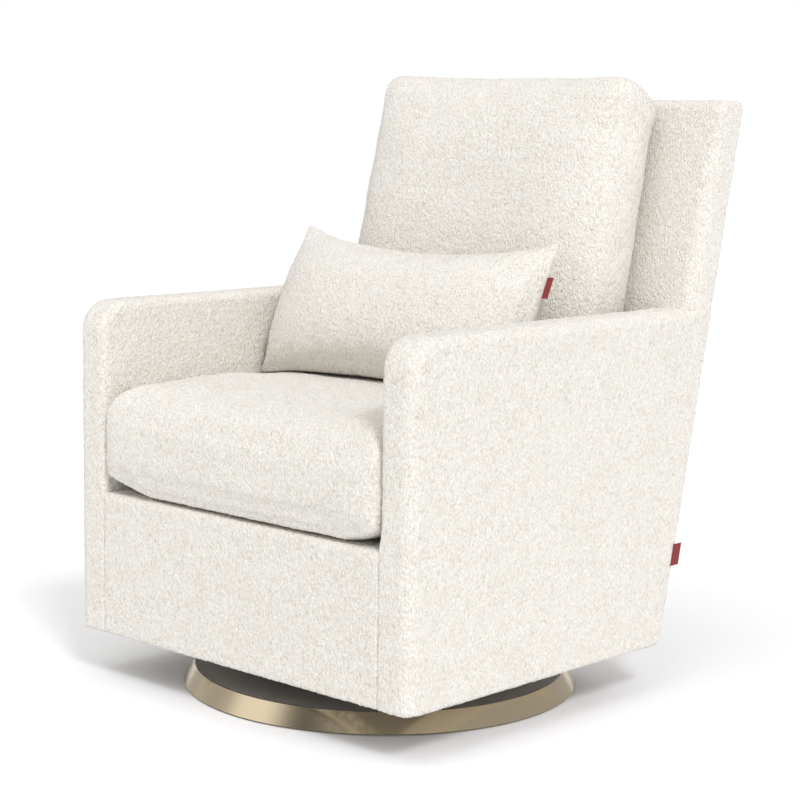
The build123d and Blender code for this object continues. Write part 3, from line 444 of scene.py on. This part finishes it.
def lofted(name, loops):
    """A closed mesh through loops of equal point counts, capped at both ends."""
    bm = bmesh.new()
    rows = [[bm.verts.new(point) for point in loop] for loop in loops]
    for low, high in zip(rows, rows[1:]):
        count = len(low)
        for i in range(count):
            j = (i + 1) % count
            bm.faces.new((low[i], low[j], high[j], high[i]))
    bm.faces.new(rows[0][::-1])
    bm.faces.new(rows[-1])
    bmesh.ops.recalc_face_normals(bm, faces=bm.faces)
    mesh = bpy.data.meshes.new(name)
    bm.to_mesh(mesh)
    bm.free()
    return new_object(name, mesh)


def apply_modifiers(piece):
    """Bake the piece's modifiers into its mesh."""
    bpy.context.view_layer.update()
    evaluated = piece.evaluated_get(bpy.context.evaluated_depsgraph_get())
    mesh = bpy.data.meshes.new_from_object(evaluated)
    piece.modifiers.clear()
    old = piece.data
    piece.data = mesh
    bpy.data.meshes.remove(old)


def remesh(piece, voxel, smooth=2):
    """Even small faces all over, with the steps of the voxels smoothed away."""
    even = piece.modifiers.new("even", "REMESH")
    even.mode = "VOXEL"
    even.voxel_size = voxel
    even.use_smooth_shade = True
    soften = piece.modifiers.new("soften", "SMOOTH")
    soften.factor = 0.5
    soften.iterations = smooth
    apply_modifiers(piece)


def points(piece):
    """The piece's vertices as an array."""
    flat = np.empty(len(piece.data.vertices) * 3)
    piece.data.vertices.foreach_get("co", flat)
    return flat.reshape(-1, 3)


def move_points(piece, places):
    """Put the piece's vertices at the places of an array."""
    piece.data.vertices.foreach_set("co", np.ascontiguousarray(places).ravel())
    piece.data.update()


def normals(piece):
    """The normals at the piece's vertices as an array."""
    flat = np.empty(len(piece.data.vertices) * 3)
    piece.data.vertex_normals.foreach_get("vector", flat)
    return flat.reshape(-1, 3)


def waves(places, size, seed):
    """Smooth random waves of about `size`, between -1 and 1, from a few sines."""
    rng = np.random.default_rng(seed)
    total = np.zeros(len(places))
    for _ in range(9):
        direction = rng.normal(size=3)
        direction *= 2 * math.pi / (size * rng.uniform(0.7, 1.6) * np.linalg.norm(direction))
        total += np.sin(places @ direction + rng.uniform(0, 2 * math.pi))
    return total / 4.5


def smooth_array(value, low, high):
    """Smooth share from 0 at low to 1 at high, for an array."""
    share = np.clip((value - low) / (high - low), 0, 1)
    return share * share * (3 - 2 * share)


def rest_on(piece, support, gap):
    """Flatten the piece where it would sink into the top of its support."""
    tree = BVHTree.FromObject(support, bpy.context.evaluated_depsgraph_get())
    places = points(piece)
    for i in np.flatnonzero(places[:, 2] < places[:, 2].min() + 0.08):
        spot = tree.ray_cast(Vector((places[i, 0], places[i, 1], 2.0)), Vector((0, 0, -1)))[0]
        if spot:
            places[i, 2] = max(places[i, 2], spot.z + gap)
    move_points(piece, places)


def keep_clear(piece, nearest, furthest=None):
    """Hold a cushion inside the arms and above the deck, and between two raked planes."""
    places = points(piece)
    x, y, z = places.T
    limit = INNER_X - NEIGHBOUR_GAP
    places[:, 0] = np.where(z < ARM_TOP, x.clip(-limit, limit), x)
    places[:, 2] = z.clip(RAIL_TOP + NEIGHBOUR_GAP, None)
    forward = (rear_y(z) - y) * math.cos(RAKE)
    kept = forward.clip(nearest, None)
    if furthest is not None:
        kept = np.where(z < SEAT_TOP, kept.clip(None, furthest), kept)
    places[:, 1] += (forward - kept) / math.cos(RAKE)
    move_points(piece, places)


def texture_surface(piece, seed, puff=LOOSE_PUFF):
    """Loops of the yarn on the mesh, over an unevenness of the padding by `puff`."""
    places, out = points(piece), normals(piece)
    rng = np.random.default_rng(seed)
    nubs = rng.normal(0.0, NUB_SPREAD, len(places)).clip(-1, 1) * NUB
    soft = waves(places, PADDING_WAVE, seed) * puff
    move_points(piece, places + out * (nubs + soft)[:, None])
    piece.data.polygons.foreach_set("use_smooth", [True] * len(piece.data.polygons))


def arc_steps(count):
    """Angles from 0 to 90 degrees."""
    return [math.pi / 2 * i / count for i in range(count + 1)]


# ---- Forms with rounded edges ---------------------------------------------------------------


def size_at(rounding, u, v):
    """Size of a rounding, given as a number or a function, at one place."""
    return rounding(u, v) if callable(rounding) else rounding


def rim(corners, roundings, step=0.02):
    """Points round an outline, each with the way its edge rounding draws it in.

    corners are (u, v, radius), counter-clockwise. roundings[i] is that of the edge
    which leaves corner i: a size, or a function of (u, v). Each entry of the result
    is ((u, v), (inset in u, inset in v), depth of the rounding).
    """
    count = len(corners)
    places = [Vector(c[:2]) for c in corners]
    ways = [(places[(i + 1) % count] - places[i]).normalized() for i in range(count)]
    outward = [Vector((way.y, -way.x)) for way in ways]
    cuts = []
    for i in range(count):
        turn = ways[i - 1].angle(ways[i])
        cuts.append(corners[i][2] * math.tan(turn / 2))
    entries = []
    for i, place in enumerate(places):
        radius, cut = corners[i][2], cuts[i]
        before, after = outward[i - 1], outward[i]
        if radius:
            centre = place - ways[i - 1] * cut - before * radius
            turn = before.angle(after)
            steps = max(3, round(turn / math.radians(10)))
            for k in range(1, steps):
                share = k / steps
                weights = math.sin((1 - share) * turn), math.sin(share * turn)
                normal = (before * weights[0] + after * weights[1]).normalized()
                spot = centre + normal * radius
                low, high = size_at(roundings[i - 1], *spot), size_at(roundings[i], *spot)
                size = low + (high - low) * share
                entries.append((spot, normal * size, size))
        else:
            low, high = size_at(roundings[i - 1], *place), size_at(roundings[i], *place)
            cross = before.x * after.y - before.y * after.x
            inset = Vector(
                (
                    (low * after.y - high * before.y) / cross,
                    (high * before.x - low * after.x) / cross,
                )
            )
            entries.append((place, inset, max(low, high)))
        length = (places[(i + 1) % count] - place).length - cut - cuts[(i + 1) % count]
        start = place + ways[i] * cut
        pieces = max(2, round(length / step))
        for k in range(0 if radius else 1, pieces + (1 if corners[(i + 1) % count][2] else 0)):
            spot = start + ways[i] * (length * k / pieces)
            size = size_at(roundings[i], *spot)
            entries.append((spot, outward[i] * size, size))
    return entries


def rounded_plate(name, corners, low_roundings, high_roundings, low, high, to_space):
    """A plate between two depths whose outline edges are rounded on both faces."""
    rows = []
    low_rim, high_rim = rim(corners, low_roundings), rim(corners, high_roundings)
    for entries, face, sign in ((low_rim, low, 1), (high_rim, high, -1)):
        side = []
        for angle in arc_steps(6):
            side.append(
                [
                    to_space(
                        spot.x - inset.x * (1 - math.sin(angle)),
                        spot.y - inset.y * (1 - math.sin(angle)),
                        face + sign * depth * (1 - math.cos(angle)),
                    )
                    for spot, inset, depth in entries
                ]
            )
        rows += side if sign == 1 else side[::-1]
    return lofted(name, rows)


# ---- Upholstered body -------------------------------------------------------------------------


def smooth_step(value, low, high):
    """Smooth share from 0 at low to 1 at high, for one number."""
    share = min(max((value - low) / (high - low), 0.0), 1.0)
    return share * share * (3 - 2 * share)


def inner_round(y, z):
    """Rounding of the arm's inner front edge: tight beside the rail, soft above it."""
    return SEAM + (ARM_INNER - SEAM) * smooth_step(z, RAIL_TOP - 0.006, RAIL_TOP + 0.03)


def arm_top_round(size):
    """Rounding along the top of an arm, which ends at the back slab."""

    def rounding(y, z):
        under_slab = smooth_step(y, rear_y(z, BACK_SLAB) - 0.002, rear_y(z, BACK_SLAB) + 0.022)
        return size + (CLOSE_SEAM - size) * under_slab

    return rounding


def arm(name, side, seed):
    """An upholstered arm; side is 1 on the right and -1 on the left."""
    corners = [
        (FRONT_Y, BOTTOM_Z, 0.0),
        (rear_y(BOTTOM_Z, -REAR_PROUD), BOTTOM_Z, 0.0),
        (rear_y(ARM_TOP, -REAR_PROUD), ARM_TOP, 0.0),
        (FRONT_Y, ARM_TOP, ARM_CORNER),
    ]
    inner = [SEAM, SEAM, arm_top_round(ARM_INNER), inner_round]
    outer = [HEM, REAR_EDGE, arm_top_round(ARM_OUTER), ARM_OUTER]
    piece = rounded_plate(
        name, corners, inner, outer, INNER_X, OUTER_X, lambda y, z, x: (side * x, y, z)
    )
    remesh(piece, FINE)
    texture_surface(piece, seed, TAUT_PUFF)
    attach(piece, "seat_unit")
    return piece


arm_right = arm("arm_upholstery_right", 1, 11)
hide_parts("arm_cover_right")
arm_left = arm("arm_upholstery_left", -1, 12)
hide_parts("arm_cover_left")

rail_side = INNER_X + RAIL_TUCK
front_corners = [
    (-rail_side, BOTTOM_Z, 0.0),
    (rail_side, BOTTOM_Z, 0.0),
    (rail_side, RAIL_TOP, 0.0),
    (-rail_side, RAIL_TOP, 0.0),
]
front_rail = rounded_plate(
    "front_rail_upholstery",
    front_corners,
    [HEM, SEAM, FRONT_TOP, SEAM],
    [SEAM] * 4,
    FRONT_Y,
    front_high.y,
    lambda x, z, y: (x, y, z),
)
remesh(front_rail, RAIL_FINE)
texture_surface(front_rail, 13, TAUT_PUFF)
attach(front_rail, "seat_unit")
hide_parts("front_cover")


def raked(x, z, forward):
    """A point of the back, `forward` in front of its rear face."""
    return (x, rear_y(z, forward), z)


def slab_side(x, high_up):
    """Rounding of an upright front edge of the back, smaller towards its top corner."""
    near_corner = smooth_step(high_up, BACK_TOP - 0.08, BACK_TOP - 0.02)
    return SLAB_SIDE + (BACK_EDGE - SLAB_SIDE) * near_corner


slab_foot = ARM_TOP - TUCK
back_corners = [
    (-INNER_X, BOTTOM_Z, 0.0),
    (INNER_X, BOTTOM_Z, 0.0),
    (INNER_X, slab_foot, 0.0),
    (OUTER_X, slab_foot, 0.0),
    (OUTER_X, BACK_TOP, BACK_EDGE),
    (-OUTER_X, BACK_TOP, BACK_EDGE),
    (-OUTER_X, slab_foot, 0.0),
    (-INNER_X, slab_foot, 0.0),
]
seams = [SEAM, SEAM, CLOSE_SEAM]
rear_roundings = seams + [REAR_EDGE] * 3 + seams[::-1][:2]
front_roundings = seams + [slab_side, BACK_EDGE, slab_side] + seams[::-1][:2]
back_frame = rounded_plate(
    "back_upholstery", back_corners, rear_roundings, front_roundings, -REAR_PROUD, BACK_SLAB, raked
)
remesh(back_frame, BACK_FINE)
texture_surface(back_frame, 14, TAUT_PUFF)
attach(back_frame, "seat_unit")
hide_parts("back_cover")

panel_x = OUTER_X - PANEL_MARGIN
panel_low, panel_high = BOTTOM_Z + PANEL_MARGIN, BACK_TOP - PANEL_MARGIN
panel_corners = [
    (-panel_x, panel_low, PANEL_CORNER),
    (panel_x, panel_low, PANEL_CORNER),
    (panel_x, panel_high, PANEL_CORNER),
    (-panel_x, panel_high, PANEL_CORNER),
]
panel_roundings = [[edge] * 4 for edge in PANEL_EDGES]
rear_panel = rounded_plate(
    "rear_panel_upholstery", panel_corners, *panel_roundings, *PANEL_DEPTHS, raked
)
remesh(rear_panel, FINE)
texture_surface(rear_panel, 15, TAUT_PUFF)
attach(rear_panel, "seat_unit")
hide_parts("back_panel")

# ---- Cushions ------------------------------------------------------------------------------------


def soft_outline(corners, radius, arc=6, cuts=20):
    """Points round a four-sided outline with rounded corners, as many for any size."""
    places = [Vector(corner) for corner in corners]
    ways = [(places[(i + 1) % 4] - places[i]).normalized() for i in range(4)]
    outward = [Vector((way.y, -way.x)) for way in ways]
    arcs = []
    for i, place in enumerate(places):
        turn = ways[i - 1].angle(ways[i])
        centre = place - ways[i - 1] * radius * math.tan(turn / 2) - outward[i - 1] * radius
        bend = []
        for k in range(arc + 1):
            share = k / arc
            weight = math.sin((1 - share) * turn), math.sin(share * turn)
            normal = (outward[i - 1] * weight[0] + outward[i] * weight[1]).normalized()
            bend.append(centre + normal * radius)
        arcs.append(bend)
    loop = []
    for i, bend in enumerate(arcs):
        following = arcs[(i + 1) % 4][0]
        loop += bend
        loop += [bend[-1].lerp(following, k / cuts) for k in range(1, cuts)]
    return loop


def boxed_levels(height, low_radius, high_radius):
    """(level, inset) up the side of a boxed cushion, rounded at both of its faces."""
    low = [(low_radius * (1 - math.cos(a)), low_radius * (1 - math.sin(a))) for a in arc_steps(7)]
    high = [
        (height - high_radius * (1 - math.sin(a)), high_radius * (1 - math.cos(a)))
        for a in arc_steps(9)
    ]
    return low + high


def swell(piece, pressure, cap):
    """Inflate the piece as stuffed cloth; no point moves further than `cap`."""
    start = points(piece)
    cloth = piece.modifiers.new("cloth", "CLOTH")
    cloth.settings.quality = 4
    cloth.settings.mass = 0.4
    cloth.settings.tension_stiffness = 25.0
    cloth.settings.compression_stiffness = 25.0
    cloth.settings.bending_stiffness = 1.2
    cloth.settings.use_pressure = True
    cloth.settings.uniform_pressure_force = pressure
    cloth.settings.effector_weights.gravity = 0.0
    for step in range(1, SWELL_FRAMES + 1):
        bpy.context.scene.frame_set(step)
    evaluated = piece.evaluated_get(bpy.context.evaluated_depsgraph_get())
    flat = np.empty(len(start) * 3)
    evaluated.data.vertices.foreach_get("co", flat)
    move = flat.reshape(-1, 3) - start
    piece.modifiers.clear()
    bpy.context.scene.frame_set(1)
    far = np.linalg.norm(move, axis=1)
    share = np.where(far > 0, cap * np.tanh(far / cap) / np.maximum(far, 1e-9), 0)
    move_points(piece, start + move * share[:, None])


def crown_share(distance):
    """Rise of a crown at a distance in from the cushion's side."""
    share = np.clip((distance - CROWN_START) / (CROWN_REACH - CROWN_START), 0, 1)
    return 1 - (1 - share) ** 2


seat_half = seat_high.x
seat_z = seat_low.z
SEAT_TOP = seat_z + SEAT_HEIGHT + SEAT_CROWN


def drawn_up(x):
    """Rise of the foot of the seat cushion towards its corners."""
    total = np.zeros(len(x))
    for side, (lift, reach, power) in SEAT_LIFTS.items():
        total += lift * np.clip(1 - (seat_half - side * x) / reach, 0, 1) ** power
    return total


def ridge(level, middle, width):
    """A smooth hump, 1 high, round the level `middle`."""
    return np.exp(-(((level - middle) / width) ** 2))


def welt(piece):
    """The sewn edge along the foot of the seat cushion: a thin bead over a groove."""
    places, out = points(piece), normals(piece)
    level = places[:, 2] - seat_z - drawn_up(places[:, 0])
    bead = ridge(level, *WELT_BEAD) * WELT
    groove = ridge(level, *WELT_GROOVE) * WELT * GROOVE_SHARE
    upright = np.abs(out[:, 2]) < 0.9
    move_points(piece, places + out * ((bead - groove) * upright)[:, None])


def seat_loop(level, inset):
    """A level section of the seat cushion."""
    z = seat_z + level
    near, far = FRONT_Y - SEAT_NOSE + inset, rear_y(z, SEAT_REAR) - inset
    half = seat_half - inset
    corners = [(-half, near), (half, near), (half, far), (-half, far)]
    loop = soft_outline(corners, SEAT_CORNER - 0.1 * inset)
    return [(spot.x, spot.y, z) for spot in loop]


seat_cushion = lofted(
    "seat_cushion",
    [seat_loop(*section) for section in boxed_levels(SEAT_HEIGHT, SEAT_LOW, SEAT_HIGH)],
)
remesh(seat_cushion, COARSE, COARSE_SMOOTHING)
places = points(seat_cushion)
upper = np.clip((places[:, 2] - seat_z) / SEAT_HEIGHT, 0, 1) ** 3
sides = crown_share(seat_half - np.abs(places[:, 0]))
ends = crown_share(places[:, 1] - FRONT_Y)
ends *= crown_share(rear_y(seat_z + SEAT_HEIGHT, SEAT_REAR) - places[:, 1])
places[:, 2] += SEAT_CROWN * upper * sides * ends
inward = places[:, 1] - FRONT_Y
rise = smooth_array(inward, *RISE_START)
rise_end = smooth_array(-inward, -RISE_END[1], -RISE_END[0])
places[:, 2] += SEAT_RISE * upper * rise * rise_end
fall = smooth_array(inward, *FALL_START)
fall_aside = (FALL_MIDDLE - FALL_ASIDE * places[:, 0]).clip(0, 1)
places[:, 2] -= SEAT_FALL * upper * fall * fall_aside
lower = np.clip(1 - (places[:, 2] - seat_z) / LIFT_HEIGHT, 0, 1) ** LIFT_POWER
places[:, 2] += lower * drawn_up(places[:, 0])
move_points(seat_cushion, places)
swell(seat_cushion, *CUSHION_SWELL)
remesh(seat_cushion, FINE)
welt(seat_cushion)
texture_surface(seat_cushion, 21)
keep_clear(seat_cushion, nearest=SEAT_REAR - 0.0005)
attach(seat_cushion, "seat_cushion")
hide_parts("seat_cushion_cover", "seat_cushion_core")

back_foot = (RAIL_TOP + CLOSE_GAP - BOTTOM_Z) / math.cos(RAKE)
back_head = (BACK_CUSHION_TOP - BOTTOM_Z) / math.cos(RAKE)


def back_loop(level, inset):
    """A section of the back cushion, parallel to the rear face of the chair."""
    forward = BACK_SLAB + CLOSE_GAP + level
    wide, narrow = BACK_CUSHION_FOOT - inset, BACK_CUSHION_HEAD - inset
    low, high = back_foot + inset, back_head - inset
    left, right = -wide - BACK_CUSHION_SKEW, wide - BACK_CUSHION_SKEW
    corners = [(left, low), (right, low), (narrow, high), (-narrow, high)]
    loop = soft_outline(corners, BACK_CUSHION_CORNER - 0.1 * inset)
    rake_y = rear_y(BOTTOM_Z, forward)
    return [
        (spot.x, rake_y + spot.y * math.sin(RAKE), BOTTOM_Z + spot.y * math.cos(RAKE))
        for spot in loop
    ]


back_cushion = lofted(
    "back_cushion",
    [
        back_loop(*section)
        for section in boxed_levels(BACK_CUSHION_DEPTH, BACK_CUSHION_REAR, BACK_CUSHION_FRONT)
    ],
)
remesh(back_cushion, COARSE, COARSE_SMOOTHING)
places = points(back_cushion)
high_up = (places[:, 2] - BOTTOM_Z) / math.cos(RAKE)
forward = (rear_y(places[:, 2]) - places[:, 1]) * math.cos(RAKE)
front_share = np.clip((forward - BACK_SLAB) / BACK_CUSHION_DEPTH, 0, 1) ** 3
ends = (back_foot, back_head)
half = np.interp(high_up, ends, (BACK_CUSHION_FOOT, BACK_CUSHION_HEAD))
aside = places[:, 0] + np.interp(high_up, ends, (BACK_CUSHION_SKEW, 0))
swelling = crown_share(half - np.abs(aside))
swelling *= crown_share(back_head - high_up) * crown_share(high_up - back_foot)
places[:, 1] -= BACK_CUSHION_CROWN / math.cos(RAKE) * front_share * swelling
near_top = smooth_array(high_up, back_head - BACK_CUSHION_UPPER, back_head)
places[:, 2] -= BACK_CUSHION_SAG * near_top * (1 - (aside / half) ** 2).clip(0, 1)
to_rear = np.clip((SLOPE_START - forward) / SLOPE_REACH, 0, 1)
places[:, 2] -= BACK_CUSHION_SLOPE * near_top * to_rear**SLOPE_POWER
move_points(back_cushion, places)
swell(back_cushion, *CUSHION_SWELL)
remesh(back_cushion, BACK_FINE)
texture_surface(back_cushion, 22)
keep_clear(back_cushion, nearest=BACK_SLAB + 0.0008, furthest=SEAT_REAR - 0.002)
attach(back_cushion, "seat_unit")
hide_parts("back_cushion_cover", "back_cushion_core")

# The pillow: two panels that meet in a knife edge, leaning on the back cushion

pillow_low, pillow_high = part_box("lumbar_pillow_cover")
PILLOW_CENTRE = (pillow_low + pillow_high) / 2 - Vector((0, 0, PILLOW_SINK))
pillow_up = Vector((0.0, math.sin(PILLOW_LEAN), math.cos(PILLOW_LEAN)))
pillow_out = Vector((0.0, -math.cos(PILLOW_LEAN), math.sin(PILLOW_LEAN)))
COLUMNS, ROWS = 112, 56


def pillow_place(u, v, side):
    """A point of the pillow; u and v run from -1 to 1 over the panel on that side."""
    blunt = (abs(u) ** PILLOW_CORNER + abs(v) ** PILLOW_CORNER) ** (1 / PILLOW_CORNER)
    full = (1 - abs(u) ** PILLOW_SIDE_POWER) * (1 - abs(v) ** PILLOW_POWER)
    depth = side * PILLOW_THICKNESS / 2 * max(full, 0.0) ** 0.8
    blunt = max(blunt, 1.0)
    u, v = u / blunt, v / blunt
    ear = u * u
    x = u * PILLOW_WIDTH / 2 * (1 - PILLOW_SIDE_SAG / (PILLOW_WIDTH / 2) * (1 - v * v))
    top = PILLOW_HEIGHT / 2 - PILLOW_TOP_SAG * (1 - ear)
    bottom = -PILLOW_HEIGHT / 2 + PILLOW_BOTTOM_SAG * (1 - ear)
    rise = (bottom + top) / 2 + v * (top - bottom) / 2
    return PILLOW_CENTRE + Vector((x, 0, 0)) + pillow_up * rise + pillow_out * depth


def crowded(share):
    """A share from -1 to 1, drawn closer to its ends."""
    return math.sin(math.pi / 2 * share) * 0.35 + 0.65 * share


def pillow_mesh():
    """Both panels of the pillow, joined along the seam."""
    bm = bmesh.new()
    panels = {}
    for side in (1, -1):
        for i in range(COLUMNS + 1):
            for j in range(ROWS + 1):
                on_seam = i in (0, COLUMNS) or j in (0, ROWS)
                if side == -1 and on_seam:
                    panels[side, i, j] = panels[1, i, j]
                else:
                    u, v = crowded(2 * i / COLUMNS - 1), crowded(2 * j / ROWS - 1)
                    panels[side, i, j] = bm.verts.new(pillow_place(u, v, side))
    for side in (1, -1):
        for i in range(COLUMNS):
            for j in range(ROWS):
                quad = [panels[side, i + a, j + b] for a, b in ((0, 0), (1, 0), (1, 1), (0, 1))]
                bm.faces.new(quad if side == 1 else quad[::-1])
    bmesh.ops.recalc_face_normals(bm, faces=bm.faces)
    mesh = bpy.data.meshes.new("lumbar_pillow")
    bm.to_mesh(mesh)
    bm.free()
    return mesh


pillow = new_object("lumbar_pillow", pillow_mesh())
swell(pillow, *PILLOW_SWELL)
subdivide = pillow.modifiers.new("subdivide", "SUBSURF")
subdivide.levels = 1
subdivide.render_levels = 1
apply_modifiers(pillow)
rest_on(pillow, seat_cushion, PILLOW_GAP)
texture_surface(pillow, 23, PILLOW_PUFF)
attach(pillow, "lumbar_pillow")
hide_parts("lumbar_pillow_cover")

# A folded tape in the seam of the rear edge

side_tab_low, side_tab_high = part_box("side_tab")
tape_x = OUTER_X + NEIGHBOUR_GAP
rows = []
for share in [i / 10 for i in range(11)]:
    z = side_tab_low.z + (side_tab_high.z - side_tab_low.z) * share
    edge = rear_y(z)
    half = TAPE_THICKNESS / 2
    section = [(tape_x, edge - TAPE_ROOT), (tape_x, edge + TAPE_REACH - half)]
    section += [
        (tape_x + half - half * math.cos(a), edge + TAPE_REACH - half + half * math.sin(a))
        for a in (0.6, 1.2, math.pi / 2, 1.95, 2.55)
    ]
    outside = tape_x + 2 * half
    section += [(outside, edge + TAPE_REACH - half), (outside, edge - TAPE_ROOT)]
    rows.append([(x, y, z) for x, y in section])
side_tape = lofted("side_tape", rows)
side_tape.data.materials.clear()
side_tape.data.materials.append(finishes["plain_tab"])
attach(side_tape, "seat_unit")
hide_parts("side_tab")

# The coil springs, which stand on the swivel, copied as they are, in spring steel

for row in ("front", "rear"):
    wires = frame["nodes"]["coil_springs_" + row]
    mesh = wires.data.copy()
    mesh.transform(wires.matrix_world)
    springs = new_object(row + "_springs", mesh, "spring_steel")
    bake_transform(springs)
    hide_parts("coil_springs_" + row)

# ---- Camera and stage -------------------------------------------------------------------------

scene = bpy.context.scene

back = Vector(
    (
        math.sin(CAMERA_TURN) * math.cos(CAMERA_PITCH),
        -math.cos(CAMERA_TURN) * math.cos(CAMERA_PITCH),
        math.sin(CAMERA_PITCH),
    )
)
level_right = Vector((math.cos(CAMERA_TURN), math.sin(CAMERA_TURN), 0.0))
level_up = back.cross(level_right)
right = math.cos(CAMERA_ROLL) * level_right + math.sin(CAMERA_ROLL) * level_up
up = math.cos(CAMERA_ROLL) * level_up - math.sin(CAMERA_ROLL) * level_right
camera_data = bpy.data.cameras.new("camera")
camera_data.sensor_width = SENSOR
camera_data.lens = SENSOR * FOCAL_SHARE
camera_data.clip_end = 50.0
camera = bpy.data.objects.new("camera", camera_data)
camera_axes = Matrix((right, up, back)).transposed().to_4x4()
camera.matrix_world = Matrix.Translation(CAMERA_PLACE) @ camera_axes
scene.collection.objects.link(camera)
scene.camera = camera
scene.view_settings.view_transform = "Standard"

floor_mesh = bpy.data.meshes.new("floor")
bm = bmesh.new()
bmesh.ops.create_grid(bm, x_segments=1, y_segments=1, size=FLOOR_SIZE)
bm.to_mesh(floor_mesh)
bm.free()
floor = bpy.data.objects.new("floor", floor_mesh)
scene.collection.objects.link(floor)
paper = bpy.data.materials.new("paper")
paper.use_nodes = True
tree = paper.node_tree
tree.nodes.clear()
output = tree.nodes.new("ShaderNodeOutputMaterial")
diffuse = tree.nodes.new("ShaderNodeBsdfDiffuse")
path = tree.nodes.new("ShaderNodeLightPath")
shade = tree.nodes.new("ShaderNodeMix")
shade.data_type = "RGBA"
shade.inputs[6].default_value = FLOOR_GREY
shade.inputs[7].default_value = FLOOR_SEEN
tree.links.new(path.outputs["Is Camera Ray"], shade.inputs[0])
tree.links.new(shade.outputs[2], diffuse.inputs["Color"])
tree.links.new(diffuse.outputs[0], output.inputs["Surface"])
floor_mesh.materials.append(paper)

world = bpy.data.worlds.new("studio")
scene.world = world
world.use_nodes = True
tree = world.node_tree
sky = tree.nodes["Background"]
sky.inputs["Color"].default_value = (1.0, 1.0, 1.0, 1.0)
# What polished metal mirrors: a ramp of brightness round the compass
path = tree.nodes.new("ShaderNodeLightPath")
way = tree.nodes.new("ShaderNodeTexCoord")
split = tree.nodes.new("ShaderNodeSeparateXYZ")
bearing = tree.nodes.new("ShaderNodeMath")
bearing.operation = "ARCTAN2"
turn = tree.nodes.new("ShaderNodeMapRange")
turn.inputs["From Min"].default_value = -math.pi
turn.inputs["From Max"].default_value = math.pi
room = tree.nodes.new("ShaderNodeValToRGB")
stops = room.color_ramp.elements
for index, (degrees, _) in enumerate(ROOM):
    stop = stops[index] if index < 2 else stops.new(0.5)
    stop.position = (degrees + 180) / 360
for stop, (_, grey) in zip(stops, ROOM):
    stop.color = (grey, grey, grey, 1.0)
tree.links.new(way.outputs["Generated"], split.inputs[0])
tree.links.new(split.outputs["Y"], bearing.inputs[0])
tree.links.new(split.outputs["X"], bearing.inputs[1])
tree.links.new(bearing.outputs[0], turn.inputs["Value"])
tree.links.new(turn.outputs["Result"], room.inputs["Fac"])
level = tree.nodes.new("ShaderNodeMix")
# What lights the rest: a fill that brightens towards the front right and above
fill = tree.nodes.new("ShaderNodeVectorMath")
fill.operation = "DOT_PRODUCT"
fill.inputs[1].default_value = Vector(FILL_WAY).normalized()
tree.links.new(way.outputs["Generated"], fill.inputs[0])
spread = tree.nodes.new("ShaderNodeMapRange")
spread.inputs["From Min"].default_value = -1.0
spread.inputs["To Min"].default_value = FILL_LOW
spread.inputs["To Max"].default_value = FILL_HIGH
tree.links.new(fill.outputs["Value"], spread.inputs["Value"])
tree.links.new(spread.outputs["Result"], level.inputs[2])
tree.links.new(path.outputs["Is Glossy Ray"], level.inputs[0])
tree.links.new(room.outputs["Color"], level.inputs[3])
seen = tree.nodes.new("ShaderNodeMix")
seen.inputs[3].default_value = 1.0
shown = tree.nodes.new("ShaderNodeMath")
shown.operation = "MAXIMUM"
tree.links.new(path.outputs["Is Camera Ray"], shown.inputs[0])
tree.links.new(path.outputs["Is Transmission Ray"], shown.inputs[1])
tree.links.new(shown.outputs[0], seen.inputs[0])
tree.links.new(level.outputs[0], seen.inputs[2])
tree.links.new(seen.outputs[0], sky.inputs["Strength"])


def sun(name, energy, angle, way, colour):
    """A distant lamp that shines along `way`, seen over `angle` degrees."""
    lamp = bpy.data.lights.new(name, "SUN")
    lamp.energy = energy
    lamp.angle = math.radians(angle)
    lamp.color = colour
    holder = bpy.data.objects.new(name, lamp)
    holder.rotation_euler = Vector(way).to_track_quat("-Z", "Y").to_euler()
    scene.collection.objects.link(holder)


sun("key", energy=1.10, angle=12.0, way=(-0.65, 0.335, -0.682), colour=(1.0, 0.99, 1.02))
sun("overhead", energy=0.55, angle=40.0, way=(0.0, 0.42, -0.91), colour=(1.0, 1.0, 1.0))
